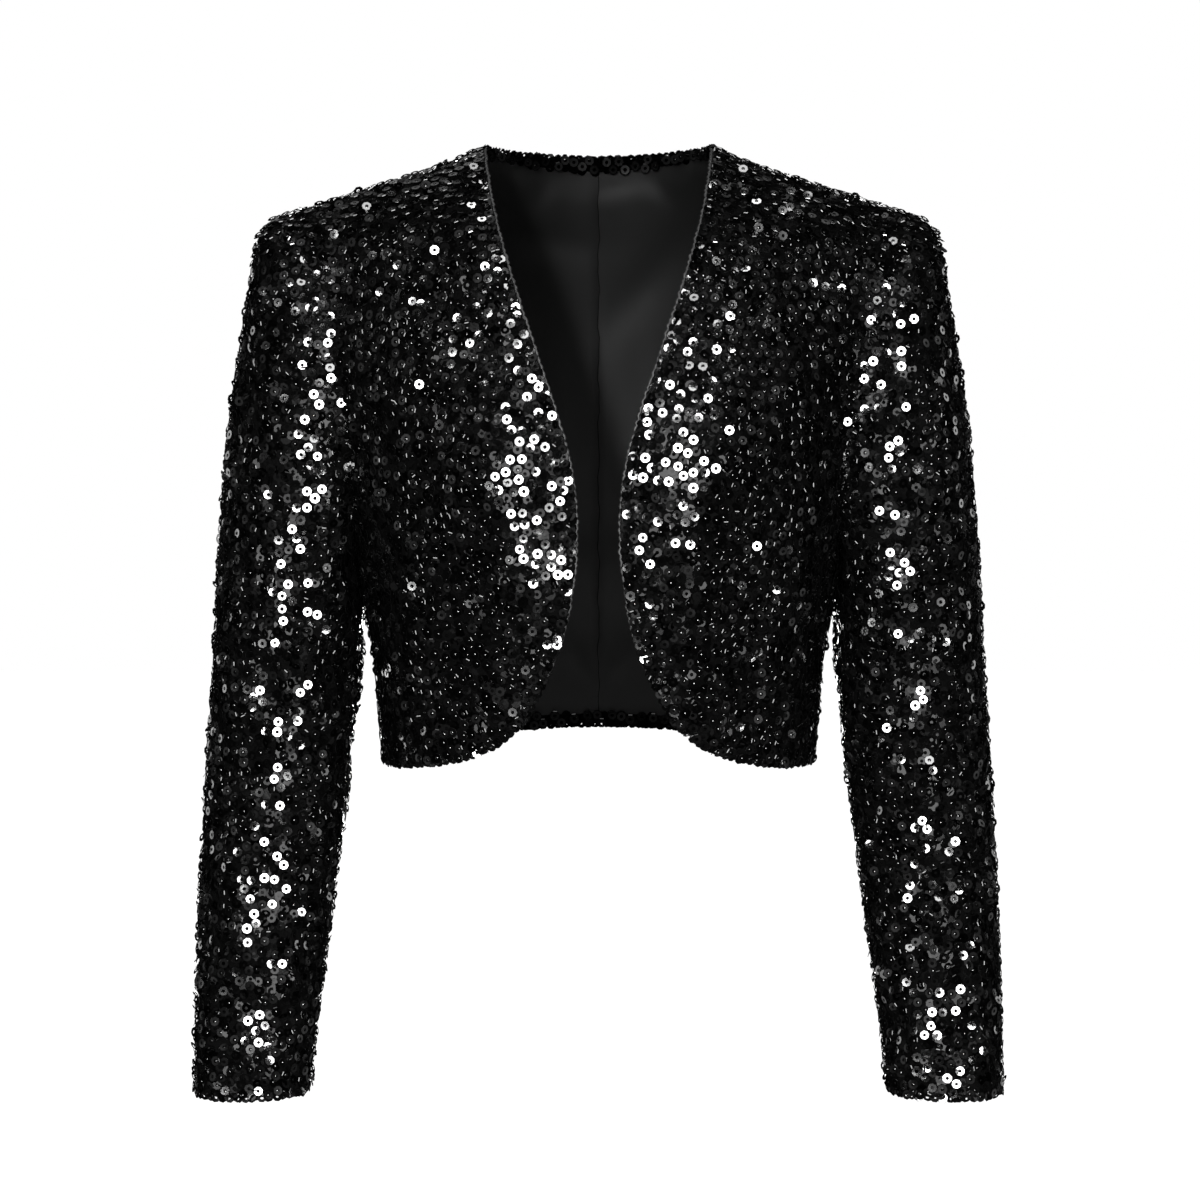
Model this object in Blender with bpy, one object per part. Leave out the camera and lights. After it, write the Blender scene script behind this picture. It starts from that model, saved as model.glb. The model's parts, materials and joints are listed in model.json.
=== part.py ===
"""Cropped open-front sequined jacket with long set-in sleeves, filled out as it is worn.

+Z is up, the front faces -Y, and the wearer's left side is +X. The origin is midway between the
wearer's two shoulders, at the height of the middle of the shoulder seams. Tables are in
millimetres, and the meshes in metres.
"""

from collections import namedtuple

import bmesh
import bpy
import numpy as np

MM = 0.001

# Cloth, in millimetres
WALL = 2.0
LINING_WALL = 1.0
SEAM_GAP = 0.3
LINING_GAP = 0.4
LINING_INSET = 1.0

# Shoulder seam and neckline
NECK_X, NECK_Z = 76.0, 21.5
TIP_X, TIP_Z = 208.0, -24.0
SHOULDER_SAG = 2.6
NAPE_Y, NAPE_Z = 76.0, 16.5
NECK_SQUARE = 2.2

# Armhole, a rounded loop from the shoulder tip down to the underarm, cut further in at the front
UNDERARM_X, UNDERARM_Y, UNDERARM_Z = 158.4, 4.0, -241.0
ARMHOLE_FRONT_DEPTH, ARMHOLE_BACK_DEPTH = 50.0, 53.0
ARMHOLE_FRONT_CURVE, ARMHOLE_BACK_CURVE = 2.3, 1.5

# Hem, and the rounded lower corner of each front
HEM_Z = -380.0
BACK_HEM_RISE = 14.0
CORNER_Z = -344.5
CORNER_SHARE, CORNER_POWER = 0.62, 4.2

# Section shape: the powers of a squared-off ellipse
SQUARE_X, SQUARE_Y = 2.5, 2.0

# How the cloth rises above the underarm: the reach of its curve there, and its slope and reach at the top
FRONT_REACH, SEAM_REACH, SHALLOW = 1.42, 1.65, 40.0
FRONT_SLOPE, BACK_SLOPE = 0.12, 7.0
NAPE_REACH, NAPE_SLOPE, BACK_REACH = 250.0, 75.0, 1.0
EDGE_LEAD = 6.0
SIDE_POWER = 2.5
FRONT_EVENING, BACK_EVENING = 4, 10

# Bust fullness that the cut of each front gives
BUST_X, BUST_Z, BUST_WIDE, BUST_TALL, BUST_OUT = 62.0, -188.0, 38.0, 48.0, 7.0

# Grid: columns across a front and half the back neckline, and where its rows lie
FRONT_COLUMNS, NECK_COLUMNS = 12, 5
LOW_HEIGHTS = (0, 7, 25, 45, 65, 85, 104, 121, 133, 139)
HIGH_SHARES = (0, 0.1, 0.2, 0.3, 0.4, 0.5, 0.6, 0.7, 0.8, 0.89, 0.967, 1)
LOW_ROWS, HIGH_ROWS = len(LOW_HEIGHTS) - 1, len(HIGH_SHARES) - 1
NECK = slice(FRONT_COLUMNS, FRONT_COLUMNS + 2 * NECK_COLUMNS + 1)

Section = namedtuple("Section", "z half_width front_y back_y")
BODY_SECTIONS = [
    Section(-380, 141.3, -100, 87),
    Section(-341, 144.8, -106, 88),
    Section(-312, 146.8, -112, 90),
    Section(-283, 152.2, -117, 94),
    Section(-262, 155.0, -120, 97),
    Section(-250, 156.6, -121, 98),
    Section(-241, 158.4, -121, 98),
]

Edge = namedtuple("Edge", "z x")
FRONT_EDGE = [
    Edge(-344.5, 47.8),
    Edge(-318, 33.5),
    Edge(-291, 23.3),
    Edge(-265, 18.3),
    Edge(-240, 15.4),
    Edge(-202, 15.4),
    Edge(-165, 22.6),
    Edge(-114, 38.8),
    Edge(-63, 56.0),
    Edge(-11, 70.0),
    Edge(21.5, 76.0),
]

Ring = namedtuple("Ring", "outer_x outer_z inner_x inner_z mid_y half_depth")
SLEEVE_RINGS = [
    Ring(TIP_X, TIP_Z, UNDERARM_X, UNDERARM_Z, UNDERARM_Y, 51.5),
    Ring(215.0, -27.5, 159.4, -245.0, 4, 52.5),
    Ring(220.3, -33.8, 159.5, -248.5, 4, 53.5),
    Ring(223.6, -43.5, 159.3, -252.0, 4, 54.5),
    Ring(227.5, -68.0, 158.9, -255.5, 4, 55.5),
    Ring(234.0, -108.0, 158.4, -260.0, 5, 56.5),
    Ring(241.0, -152.0, 157.9, -265.5, 6, 56.5),
    Ring(246.3, -205.0, 157.6, -272.5, 6, 55.5),
    Ring(249.8, -255.0, 157.6, -283.0, 6, 54.5),
    Ring(252.2, -298.0, 157.8, -306.0, 6, 53.0),
    Ring(255.0, -341.0, 161.0, -343.0, 5, 50.5),
    Ring(258.6, -393.0, 166.6, -393.0, 2, 47.5),
    Ring(261.4, -446.0, 174.0, -446.0, -5, 44.5),
    Ring(263.2, -499.0, 180.4, -499.0, -13, 41.0),
    Ring(264.4, -552.0, 187.4, -551.0, -22, 36.5),
    Ring(264.8, -596.0, 191.8, -594.5, -30, 33.5),
]
HEAD_RINGS, ARM_RINGS = 6, 15
HEAD_REACH = 120.0
RING_SQUARE = 2.15
LONGEST_MITRE = 2.0

# Folds: a soft trough, or a ridge where the depth is negative, from one point to another
Fold = namedtuple("Fold", "x0 z0 x1 z1 width depth")
FRONT_FOLDS = {
    "right": [
        Fold(112, 0, 104, -105, 15, 3.8),
        Fold(166, -150, 118, -205, 15, 3.0),
        Fold(84, -262, 92, -380, 13, 3.2),
        Fold(120, -240, 124, -380, 13, -2.6),
    ],
    "left": [
        Fold(116, 4, 108, -85, 15, 3.4),
        Fold(168, -140, 112, -186, 16, 3.4),
        Fold(92, -250, 88, -380, 14, 2.8),
        Fold(124, -262, 118, -380, 12, -3.0),
    ],
}
BACK_FOLDS = [
    Fold(-52, -60, -38, -235, 26, 2.4),
    Fold(60, -80, 34, -240, 24, 2.8),
    Fold(-118, -205, -84, -262, 17, 2.2),
    Fold(112, -215, 92, -300, 17, 2.4),
    Fold(-70, -275, -66, -380, 16, 2.6),
    Fold(8, -290, 4, -380, 18, 2.0),
]

# Sleeve folds: angle from the outer side towards the front, in degrees, and distance down the sleeve
Crease = namedtuple("Crease", "angle0 z0 angle1 z1 wide tall depth")
SLEEVE_CREASES = {
    "right": [
        Crease(118, -215, 60, -262, 26, 13, 2.6),
        Crease(150, -318, 80, -344, 28, 12, 2.6),
        Crease(210, -366, 140, -384, 30, 12, 2.4),
        Crease(20, -424, 80, -446, 30, 13, 1.8),
        Crease(250, -300, 310, -330, 30, 14, 2.2),
        Crease(120, -530, 60, -548, 30, 11, 1.4),
    ],
    "left": [
        Crease(122, -205, 66, -250, 26, 13, 2.4),
        Crease(154, -300, 88, -334, 28, 12, 2.8),
        Crease(206, -352, 132, -372, 30, 12, 2.2),
        Crease(30, -440, 92, -458, 30, 13, 1.8),
        Crease(246, -318, 300, -342, 30, 14, 2.2),
        Crease(110, -505, 50, -530, 30, 11, 1.5),
    ],
}

SEQUIN_BLACK = (0.012, 0.012, 0.013, 1.0)
SATIN_BLACK = (0.022, 0.022, 0.023, 1.0)
BASE_BLACK = (0.016, 0.016, 0.017, 1.0)


def smooth(at, values, where):
    """A smooth curve through values at the places in at, read at where."""
    at = np.asarray(at, float)
    values = np.asarray(values, float)
    slopes = np.gradient(values, at, axis=0)
    where = np.atleast_1d(np.clip(where, at[0], at[-1]))
    k = np.clip(np.searchsorted(at, where, side="right") - 1, 0, len(at) - 2)
    width = at[k + 1] - at[k]
    t = (where - at[k]) / width
    if values.ndim > 1:
        width, t = width[:, None], t[:, None]
    return hermite(values[k], values[k + 1], slopes[k] * width, slopes[k + 1] * width, t)


def hermite(start, end, leaving, arriving, t):
    """The cubic between two points that leaves and arrives along the given directions."""
    return (
        (2 * t**3 - 3 * t**2 + 1) * start
        + (t**3 - 2 * t**2 + t) * leaving
        + (3 * t**2 - 2 * t**3) * end
        + (t**3 - t**2) * arriving
    )


def unit(vectors):
    length = np.linalg.norm(vectors, axis=-1, keepdims=True)
    return vectors / np.maximum(length, 1e-9)


def section_at(z):
    """Half width, front depth and back depth of the body at a height."""
    table = np.array(BODY_SECTIONS, float)
    return smooth(table[:, 0], table[:, 1:], z)[0]


def edge_x(z):
    """How far the front edge lies from the centre at a height."""
    table = np.array(FRONT_EDGE, float)
    return smooth(table[:, 0], table[:, 1], z)


def around(half_width, depth, angle):
    """A point on the squared ellipse that the body's sections follow, from the centre to the side."""
    x = half_width * np.sin(angle) ** (2 / SQUARE_X)
    y = UNDERARM_Y + (depth - UNDERARM_Y) * np.clip(np.cos(angle), 0, 1) ** (2 / SQUARE_Y)
    return x, y


def angle_of(x, half_width):
    return np.arcsin((x / half_width) ** (SQUARE_X / 2))


def armhole(share, depth, curve):
    """The armhole from the underarm, share 0, to the shoulder tip, share 1, on its front or back side."""
    turn = np.pi * (1 - share)
    height = (1 + np.cos(turn)) / 2
    x = UNDERARM_X + (TIP_X - UNDERARM_X) * height**curve
    y = UNDERARM_Y * (1 - height) + depth * np.sin(turn)
    z = UNDERARM_Z + (TIP_Z - UNDERARM_Z) * height
    return np.stack([x, y, z], axis=-1)


def low_rows_front():
    """Rows of the front from the hem up to the underarm, from the front edge to the side seam."""
    rows = []
    for height in LOW_HEIGHTS:
        side_z = HEM_Z + height
        share = height / LOW_HEIGHTS[-1]
        start_z = CORNER_Z + share * (UNDERARM_Z + EDGE_LEAD - CORNER_Z)
        half_width, depth, _ = section_at(side_z)
        start_x = edge_x(start_z)[0]
        angle = np.linspace(angle_of(start_x, half_width), np.pi / 2, FRONT_COLUMNS + 1)
        x, y = around(half_width, depth, angle)
        left = 1 - (x - start_x) / (half_width - start_x)
        rise = (1 - CORNER_SHARE) * left + CORNER_SHARE * np.clip(left, 0, 1) ** CORNER_POWER
        rows.append(np.stack([x, y, side_z + (start_z - side_z) * rise], axis=-1))
    return np.array(rows)


def low_rows_back():
    """Rows of half the back from the hem up to the underarm, from the centre to the side seam."""
    below_neck = angle_of(0.4, 1.0)
    angle = np.concatenate(
        [
            np.linspace(0, below_neck, NECK_COLUMNS + 1)[:-1],
            np.linspace(below_neck, np.pi / 2, FRONT_COLUMNS + 1),
        ]
    )
    rows = []
    for height in LOW_HEIGHTS:
        half_width, _, depth = section_at(HEM_Z + height)
        x, y = around(half_width, depth, angle)
        rise = BACK_HEM_RISE * (1 - height / LOW_HEIGHTS[-1]) * (1 - (x / half_width) ** 2)
        rows.append(np.stack([x, y, HEM_Z + height + rise], axis=-1))
    return np.array(rows)


def seam_points():
    """The shoulder seam from the neck point to the tip."""
    share = np.linspace(0, 1, FRONT_COLUMNS + 1)
    x = NECK_X + (TIP_X - NECK_X) * share
    z = NECK_Z + (TIP_Z - NECK_Z) * share - SHOULDER_SAG * np.sin(np.pi * np.sqrt(share))
    return np.stack([x, 0 * x, z], axis=-1)


def neckline_points():
    """Half the back neckline, from the nape to the neck point."""
    turn = np.linspace(0, np.pi / 2, NECK_COLUMNS + 1)
    x = NECK_X * np.sin(turn) ** (2 / NECK_SQUARE)
    y = NAPE_Y * np.clip(np.cos(turn), 0, 1) ** (2 / NECK_SQUARE)
    z = NAPE_Z + (NECK_Z - NAPE_Z) * (x / NECK_X) ** 2
    return np.stack([x, y, z], axis=-1)


def climb(low, top, arriving, stretch, side):
    """Rows from the underarm up to the top edge. Each column is one cubic, and the last is the armhole."""
    start = low[-1]
    leaving = unit(low[-2] - low[-4])
    reach = np.linalg.norm(top - start, axis=-1, keepdims=True)
    leaving = leaving * reach * stretch
    t = np.array(HIGH_SHARES)[:, None, None]
    rows = hermite(start[None], top[None], leaving[None], arriving[None], t)
    across = np.linspace(0, 1, len(start))[None, :, None] ** SIDE_POWER
    return rows + across * (side - rows[:, -1])[:, None, :]


def high_rows_front(low):
    top = seam_points()
    depth = np.maximum(np.abs(low[-1][:, 1:2]), SHALLOW)
    arriving = np.array([0, 1.0, FRONT_SLOPE]) * depth * SEAM_REACH
    side = armhole(np.array(HIGH_SHARES), -ARMHOLE_FRONT_DEPTH, ARMHOLE_FRONT_CURVE)
    rows = climb(low, top, arriving, FRONT_REACH, side)
    toward_edge = np.linspace(1, 0, FRONT_COLUMNS + 1) ** 2
    for row in rows:
        row[:, 0] += toward_edge * (edge_x(row[0, 2])[0] - row[0, 0])
    return rows


def high_rows_back(low):
    top = np.concatenate([neckline_points()[:-1], seam_points()])
    depth = np.maximum(np.abs(low[-1][:, 1]), SHALLOW)
    columns = np.arange(len(top))
    turned = np.clip(columns / NECK_COLUMNS, 0, 1)
    turned = turned**2 * (3 - 2 * turned)
    slope = np.radians(NAPE_SLOPE + (BACK_SLOPE - NAPE_SLOPE) * turned)
    length = depth * SEAM_REACH * turned + NAPE_REACH * (1 - turned)
    arriving = -np.stack([0 * slope, np.cos(slope), -np.sin(slope)], axis=-1) * length[:, None]
    stretch = (BACK_REACH + (FRONT_REACH - BACK_REACH) * turned)[:, None]
    side = armhole(np.array(HIGH_SHARES), ARMHOLE_BACK_DEPTH, ARMHOLE_BACK_CURVE)
    return climb(low, top, arriving, stretch, side)


def evened(points, rounds):
    """The grid with each row above the underarm smoothed along itself, least beside its two ends."""
    share = np.array(HIGH_SHARES)
    weight = np.concatenate([np.zeros(LOW_ROWS), 2 * share * (1 - share)])
    for _ in range(rounds):
        middle = (points[:, :-2] + points[:, 2:]) / 2
        points[:, 1:-1] += weight[:, None, None] * (middle - points[:, 1:-1])
    return points


def vertex_normals(points, closed=False):
    """Unit normals of a grid, outward where rows rise and columns run from the centre to the wearer's left."""
    if closed:
        points = np.concatenate([points, points[:, :1]], axis=1)
    across = points[1:, 1:] - points[:-1, :-1]
    back_across = points[1:, :-1] - points[:-1, 1:]
    faces = unit(np.cross(across, back_across))
    total = np.zeros_like(points)
    for rows in (np.s_[1:], np.s_[:-1]):
        for columns in (np.s_[1:], np.s_[:-1]):
            total[rows, columns] += faces
    if closed:
        total[:, 0] += total[:, -1]
        total = total[:, :-1]
    return unit(total)


def near_line(x, z, fold):
    """How near each place is to a fold's line, from 0 to 1, fading out towards the line's ends."""
    line = np.array([fold.x1 - fold.x0, fold.z1 - fold.z0])
    length = np.hypot(*line)
    along = ((x - fold.x0) * line[0] + (z - fold.z0) * line[1]) / length**2
    away = ((x - fold.x0) * line[1] - (z - fold.z0) * line[0]) / length
    past = np.maximum(np.abs(along - 0.5) - 0.5, 0) * length
    fade = 0.45 + 0.55 * np.sin(np.pi * np.clip(along, 0, 1))
    return np.exp(-((away / fold.width) ** 2) - (past / fold.width) ** 2) * fade


def folded(points, folds, held):
    """The panel with its folds pressed in along its normals, fading to nothing where it is held."""
    x, z = points[..., 0], points[..., 2]
    depth = sum(fold.depth * near_line(x, z, fold) for fold in folds)
    return points - vertex_normals(points) * (depth * held)[..., None]


def held_at_seams(rows, columns, from_centre):
    """1 over the panel and 0 at its side seam, armhole and shoulder seam."""
    side = 1 - np.abs(np.linspace(-1 if from_centre else 0, 1, columns)) ** 6
    top = 1 - np.linspace(0, 1, rows) ** 8
    return top[:, None] * side[None, :]


def front_points(side):
    """Grid of one front, on the wearer's left, from hem to shoulder seam."""
    low = low_rows_front()
    points = evened(np.concatenate([low[:-1], high_rows_front(low)]), FRONT_EVENING)
    held = held_at_seams(len(points), FRONT_COLUMNS + 1, False)
    away = ((points[..., 0] - BUST_X) / BUST_WIDE) ** 2 + ((points[..., 2] - BUST_Z) / BUST_TALL) ** 2
    points = points + vertex_normals(points) * (BUST_OUT * np.exp(-away) * held)[..., None]
    return folded(points, FRONT_FOLDS[side], held)


def back_points():
    """Grid of the whole back, from the wearer's right side to the left."""
    low = low_rows_back()
    half = np.concatenate([low[:-1], high_rows_back(low)])
    other = half[:, :0:-1] * np.array([-1, 1, 1])
    points = evened(np.concatenate([other, half], axis=1), BACK_EVENING)
    held = held_at_seams(len(points), points.shape[1], True)
    return folded(points[:, ::-1], BACK_FOLDS, held[:, ::-1])[:, ::-1]


def ring_points(ring, angles):
    """One ring of the sleeve. Angle 0 is its outer side and 90 degrees its front."""
    outer = np.array([ring.outer_x, ring.mid_y, ring.outer_z])
    inner = np.array([ring.inner_x, ring.mid_y, ring.inner_z])
    power = 2 / RING_SQUARE
    cosine, sine = np.cos(angles), np.sin(angles)
    along = np.sign(cosine) * np.abs(cosine) ** power
    across = np.sign(sine) * np.abs(sine) ** power
    middle, half = (outer + inner) / 2, (outer - inner) / 2
    points = middle + along[:, None] * half
    points[:, 1] -= across * ring.half_depth
    return points


def sleeve_points(side, armhole_loop):
    """Rings of the left sleeve from the armhole to the cuff. The first ring is the armhole itself."""
    turn = np.pi * (1 - np.array(HIGH_SHARES))
    angles = np.concatenate([turn[::-1], 2 * np.pi - turn[1:-1]])
    rings = np.array([ring_points(ring, angles) for ring in SLEEVE_RINGS])
    step = np.linalg.norm(np.diff(rings, axis=0), axis=-1).mean(axis=1)
    place = np.concatenate([[0], np.cumsum(step)])
    fading = np.clip(1 - place / HEAD_REACH, 0, 1) ** 1.5
    rings = rings + fading[:, None, None] * (armhole_loop - rings[0])
    where = np.concatenate([place[:HEAD_RINGS], np.linspace(place[HEAD_RINGS], place[-1], ARM_RINGS)])
    points = np.stack([smooth(place, rings[:, j], where) for j in range(len(angles))], axis=1)
    free = np.clip((np.arange(len(points)) - 3) / 3, 0, 1)[:, None]
    depth = creased(points[..., 2], np.degrees(angles), SLEEVE_CREASES[side]) * free
    return points - vertex_normals(points, closed=True) * depth[..., None]


def creased(z, degrees, creases):
    """How deep the sleeve's creases are at each height and angle."""
    depth = np.zeros_like(z)
    for crease in creases:
        along = np.clip((degrees - crease.angle0) / (crease.angle1 - crease.angle0), -0.6, 1.6)
        line_z = crease.z0 + along * (crease.z1 - crease.z0)
        half_angle = abs(crease.angle1 - crease.angle0) / 2 + crease.wide
        near = np.exp(-(((degrees - (crease.angle0 + crease.angle1) / 2) / half_angle) ** 4))
        depth += crease.depth * near * np.exp(-(((z - line_z) / crease.tall) ** 2))
    return depth


# Each side of a grid, and the row or column next to it
SIDES = {
    "bottom": (np.s_[0, :], np.s_[1, :]),
    "top": (np.s_[-1, :], np.s_[-2, :]),
    "start": (np.s_[:, 0], np.s_[:, 1]),
    "end": (np.s_[:, -1], np.s_[:, -2]),
}


def trimmed(points, inward, sides, gap):
    """The grid with its seam edges drawn back by half a gap, square to the edge and to its inward lines."""
    moved = points.copy()
    for side in sides:
        edge, neighbour = SIDES[side]
        line = points[edge]
        direction = unit(np.cross(inward[edge], unit(np.gradient(line, axis=0))))
        sign = np.sign(np.sum(direction * (points[neighbour] - line), axis=-1, keepdims=True))
        moved[edge] += direction * sign * gap / 2
    return moved


def drawn_back(skin, sides, distance):
    """The grid with some sides moved towards their neighbours, along the skin."""
    moved = skin.copy()
    for side in sides:
        edge, neighbour = SIDES[side]
        moved[edge] += unit(skin[neighbour] - skin[edge]) * distance
    return moved


def wall_mesh(name, outer, inner, closed=False):
    """A closed wall between two grids of points. Where closed, the columns run round a tube.

    Every four points are split along the same diagonal, so that walls made from one grid lie parallel.
    """
    rows, columns = outer.shape[:2]
    mesh = bmesh.new()
    skins = []
    for grid in (outer, inner):
        skins.append([[mesh.verts.new(point * MM) for point in row] for row in grid])
    count = columns if closed else columns - 1
    for i in range(rows - 1):
        for j in range(count):
            k = (j + 1) % columns
            for skin, turn in zip(skins, (1, -1)):
                low, low_next = skin[i][j], skin[i][k]
                high, high_next = skin[i + 1][j], skin[i + 1][k]
                mesh.faces.new([low, low_next, high_next][::turn])
                mesh.faces.new([low, high_next, high][::turn])
    front, back = skins
    for j in range(count):
        k = (j + 1) % columns
        mesh.faces.new([front[0][k], front[0][j], back[0][j], back[0][k]])
        mesh.faces.new([front[-1][j], front[-1][k], back[-1][k], back[-1][j]])
    if not closed:
        for i in range(rows - 1):
            mesh.faces.new([front[i][0], front[i + 1][0], back[i + 1][0], back[i][0]])
            mesh.faces.new([front[i + 1][-1], front[i][-1], back[i][-1], back[i + 1][-1]])
    bmesh.ops.recalc_face_normals(mesh, faces=mesh.faces)
    data = bpy.data.meshes.new(name)
    mesh.to_mesh(data)
    mesh.free()
    data.shade_smooth()
    data.set_sharp_from_angle(angle=np.radians(50))
    return data


def material(name, colour, roughness):
    made = bpy.data.materials.new(name)
    made.use_nodes = True
    shader = made.node_tree.nodes["Principled BSDF"]
    shader.inputs["Base Color"].default_value = colour
    shader.inputs["Roughness"].default_value = roughness
    return made


def place(name, mesh, finish, collection):
    obj = bpy.data.objects.new(name, mesh)
    mesh.materials.append(finish)
    collection.objects.link(obj)
    return obj


def mirrored(points):
    """The other side's grid, with its columns turned round so that its faces still point out."""
    return (points * np.array([-1, 1, 1]))[:, ::-1]


def mitre(one, other):
    """The line along which two walls meet: it bisects them, and is longer where they meet at an angle."""
    middle = one + other
    half = np.linalg.norm(middle, axis=-1, keepdims=True) / 2
    return -unit(middle) * np.minimum(1 / np.maximum(half, 1e-6), LONGEST_MITRE)


def body_grids():
    """Outer points of the back, the fronts and the sleeves, and the lines from them through the wall.

    The fronts and sleeves are all on the wearer's left. The lines are one unit long in the middle of a
    panel. Where panels meet at a seam they share their lines, so that their edges lie face to face.
    """
    back = back_points()
    back_lines = -vertex_normals(back[:, ::-1])[:, ::-1]
    middle = NECK_COLUMNS + FRONT_COLUMNS
    shoulder = slice(NECK_COLUMNS, None)
    grids = {"back": (back, back_lines)}
    for side, step in (("left", 1), ("right", -1)):
        flip = np.array([step, 1, 1])
        half = back[:, middle::step] * flip
        half_out = -back_lines[:, middle::step] * flip
        front = front_points(side)
        front_out = vertex_normals(front)
        armhole_loop = np.concatenate([front[:LOW_ROWS - 1:-1, -1], half[LOW_ROWS + 1 : -1, -1]])
        sleeve = sleeve_points(side, armhole_loop)
        sleeve_out = vertex_normals(sleeve, closed=True)

        front_lines, half_lines, sleeve_lines = -front_out, -half_out, -sleeve_out
        front_lines[-1] = half_lines[-1, shoulder] = mitre(front_out[-1], half_out[-1, shoulder])
        side_seam = mitre(front_out[: LOW_ROWS + 1, -1], half_out[: LOW_ROWS + 1, -1])
        front_lines[: LOW_ROWS + 1, -1] = half_lines[: LOW_ROWS + 1, -1] = side_seam
        body_out = np.concatenate([front_out[: LOW_ROWS - 1 : -1, -1], half_out[LOW_ROWS + 1 : -1, -1]])
        for place, row in ((0, -1), (HIGH_ROWS, LOW_ROWS)):
            body_out[place] = unit(front_out[row, -1] + half_out[row, -1])
        sleeve_lines[0] = mitre(body_out, sleeve_out[0])
        front_lines[LOW_ROWS:, -1] = sleeve_lines[0, HIGH_ROWS::-1]
        half_lines[LOW_ROWS:, -1] = np.concatenate([sleeve_lines[0, HIGH_ROWS:], sleeve_lines[0, :1]])
        back_lines[:, middle::step] = half_lines * flip
        grids[side] = (front, front_lines, sleeve, sleeve_lines)
    return grids


def build():
    for obj in list(bpy.data.objects):
        bpy.data.objects.remove(obj)
    jacket = bpy.data.collections.new("sequin_jacket")
    bpy.context.scene.collection.children.link(jacket)
    sequins = material("sequin_cloth", SEQUIN_BLACK, 0.18)

    grids = body_grids()
    back, back_lines = grids["back"]
    outer = trimmed(back, back_lines, ("top", "start", "end"), SEAM_GAP)
    outer[-1, NECK] = back[-1, NECK]
    place("back", wall_mesh("back", outer, outer + back_lines * WALL), sequins, jacket)

    for side in ("left", "right"):
        front, front_lines, sleeve, sleeve_lines = grids[side]
        panels = (
            (f"front_{side}", trimmed(front, front_lines, ("top", "end"), SEAM_GAP), front_lines, False),
            (f"sleeve_{side}", trimmed(sleeve, sleeve_lines, ("bottom",), SEAM_GAP), sleeve_lines, True),
        )
        for name, points, lines, closed in panels:
            inside = points + lines * WALL
            if side == "right":
                points, inside = mirrored(points), mirrored(inside)
            place(name, wall_mesh(name, points, inside, closed), sequins, jacket)

    add_lining(back, back_lines, jacket)


def add_lining(back, back_lines, jacket):
    """The back lining in two halves, and the turned-in sequined edge at the neck and at the hem.

    All four lie against the back's inner side, so they are made from its points, moved inwards.
    """
    satin = material("lining_satin", SATIN_BLACK, 0.42)
    turned = material("turned_edge", BASE_BLACK, 0.3)
    nearest = WALL + LINING_GAP
    skins = [back + back_lines * depth for depth in (nearest, nearest + LINING_WALL)]
    middle = NECK_COLUMNS + FRONT_COLUMNS
    pieces = (
        ("lining_right", np.s_[1:-1, : middle + 1], "start", ("bottom", "top", "end"), satin),
        ("lining_left", np.s_[1:-1, middle:], "end", ("bottom", "top", "start"), satin),
        ("neck_edge", np.s_[-2:, NECK], None, ("bottom", "start", "end"), turned),
        ("hem_edge", np.s_[:2], None, ("top", "start", "end"), turned),
    )
    for name, cut, inset_side, seam_sides, finish in pieces:
        walls = [drawn_back(skin[cut], seam_sides, LINING_GAP / 2) for skin in skins]
        if inset_side:
            walls = [drawn_back(wall, (inset_side,), LINING_INSET) for wall in walls]
        place(name, wall_mesh(name, *walls), finish, jacket)


build()
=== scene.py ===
"""Looks of the cropped sequinned jacket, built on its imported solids.

+Z is up, the front faces -Y, and the wearer's left side is +X. Tables are in millimetres, and the
meshes in metres.
"""

import json
from collections import namedtuple

import bpy
import numpy as np
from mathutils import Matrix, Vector
from mathutils.kdtree import KDTree

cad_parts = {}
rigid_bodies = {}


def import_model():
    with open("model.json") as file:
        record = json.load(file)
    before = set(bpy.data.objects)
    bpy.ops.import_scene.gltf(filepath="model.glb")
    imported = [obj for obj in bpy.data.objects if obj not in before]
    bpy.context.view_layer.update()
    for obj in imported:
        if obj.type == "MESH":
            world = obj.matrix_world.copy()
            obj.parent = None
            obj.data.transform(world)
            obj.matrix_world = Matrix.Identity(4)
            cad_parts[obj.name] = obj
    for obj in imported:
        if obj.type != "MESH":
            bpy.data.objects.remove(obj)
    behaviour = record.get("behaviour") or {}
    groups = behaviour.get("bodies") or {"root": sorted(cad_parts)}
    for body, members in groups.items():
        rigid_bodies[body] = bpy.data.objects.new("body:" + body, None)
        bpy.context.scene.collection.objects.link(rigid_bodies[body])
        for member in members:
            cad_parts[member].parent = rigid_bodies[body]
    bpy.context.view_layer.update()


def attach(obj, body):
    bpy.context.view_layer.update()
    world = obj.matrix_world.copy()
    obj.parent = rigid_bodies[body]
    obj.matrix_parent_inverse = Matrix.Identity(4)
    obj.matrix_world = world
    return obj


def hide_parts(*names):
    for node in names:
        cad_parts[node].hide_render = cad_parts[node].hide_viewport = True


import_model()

MM = 0.001
MIRROR = np.array([-1, 1, 1])

# Cloth
WALL = 2.0
LINING_WALL = 1.0
SEAM_GAP = 0.3
LINING_GAP = 0.4
LINING_INSET = 1.0

# Shoulder seam and neckline
NECK_X, NECK_Z = 76.0, 21.5
TIP_X, TIP_Z = 208.0, -24.0
SHOULDER_SAG = 2.6
NAPE_Y, NAPE_Z = 76.0, 16.5
NECK_SQUARE = 2.2

# Armhole, a rounded loop from the shoulder tip down to the underarm, cut further in at the front
UNDERARM_X, UNDERARM_Y, UNDERARM_Z = 158.4, 4.0, -241.0
ARMHOLE_FRONT_DEPTH, ARMHOLE_BACK_DEPTH = 50.0, 53.0
ARMHOLE_FRONT_CURVE, ARMHOLE_BACK_CURVE = 2.3, 1.5

# Hem, and the rounded lower corner of each front
HEM_Z = -380.0
BACK_HEM_RISE = 14.0
CORNER_Z = -344.5
CORNER_SHARE, CORNER_POWER = 0.62, 4.2

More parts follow.
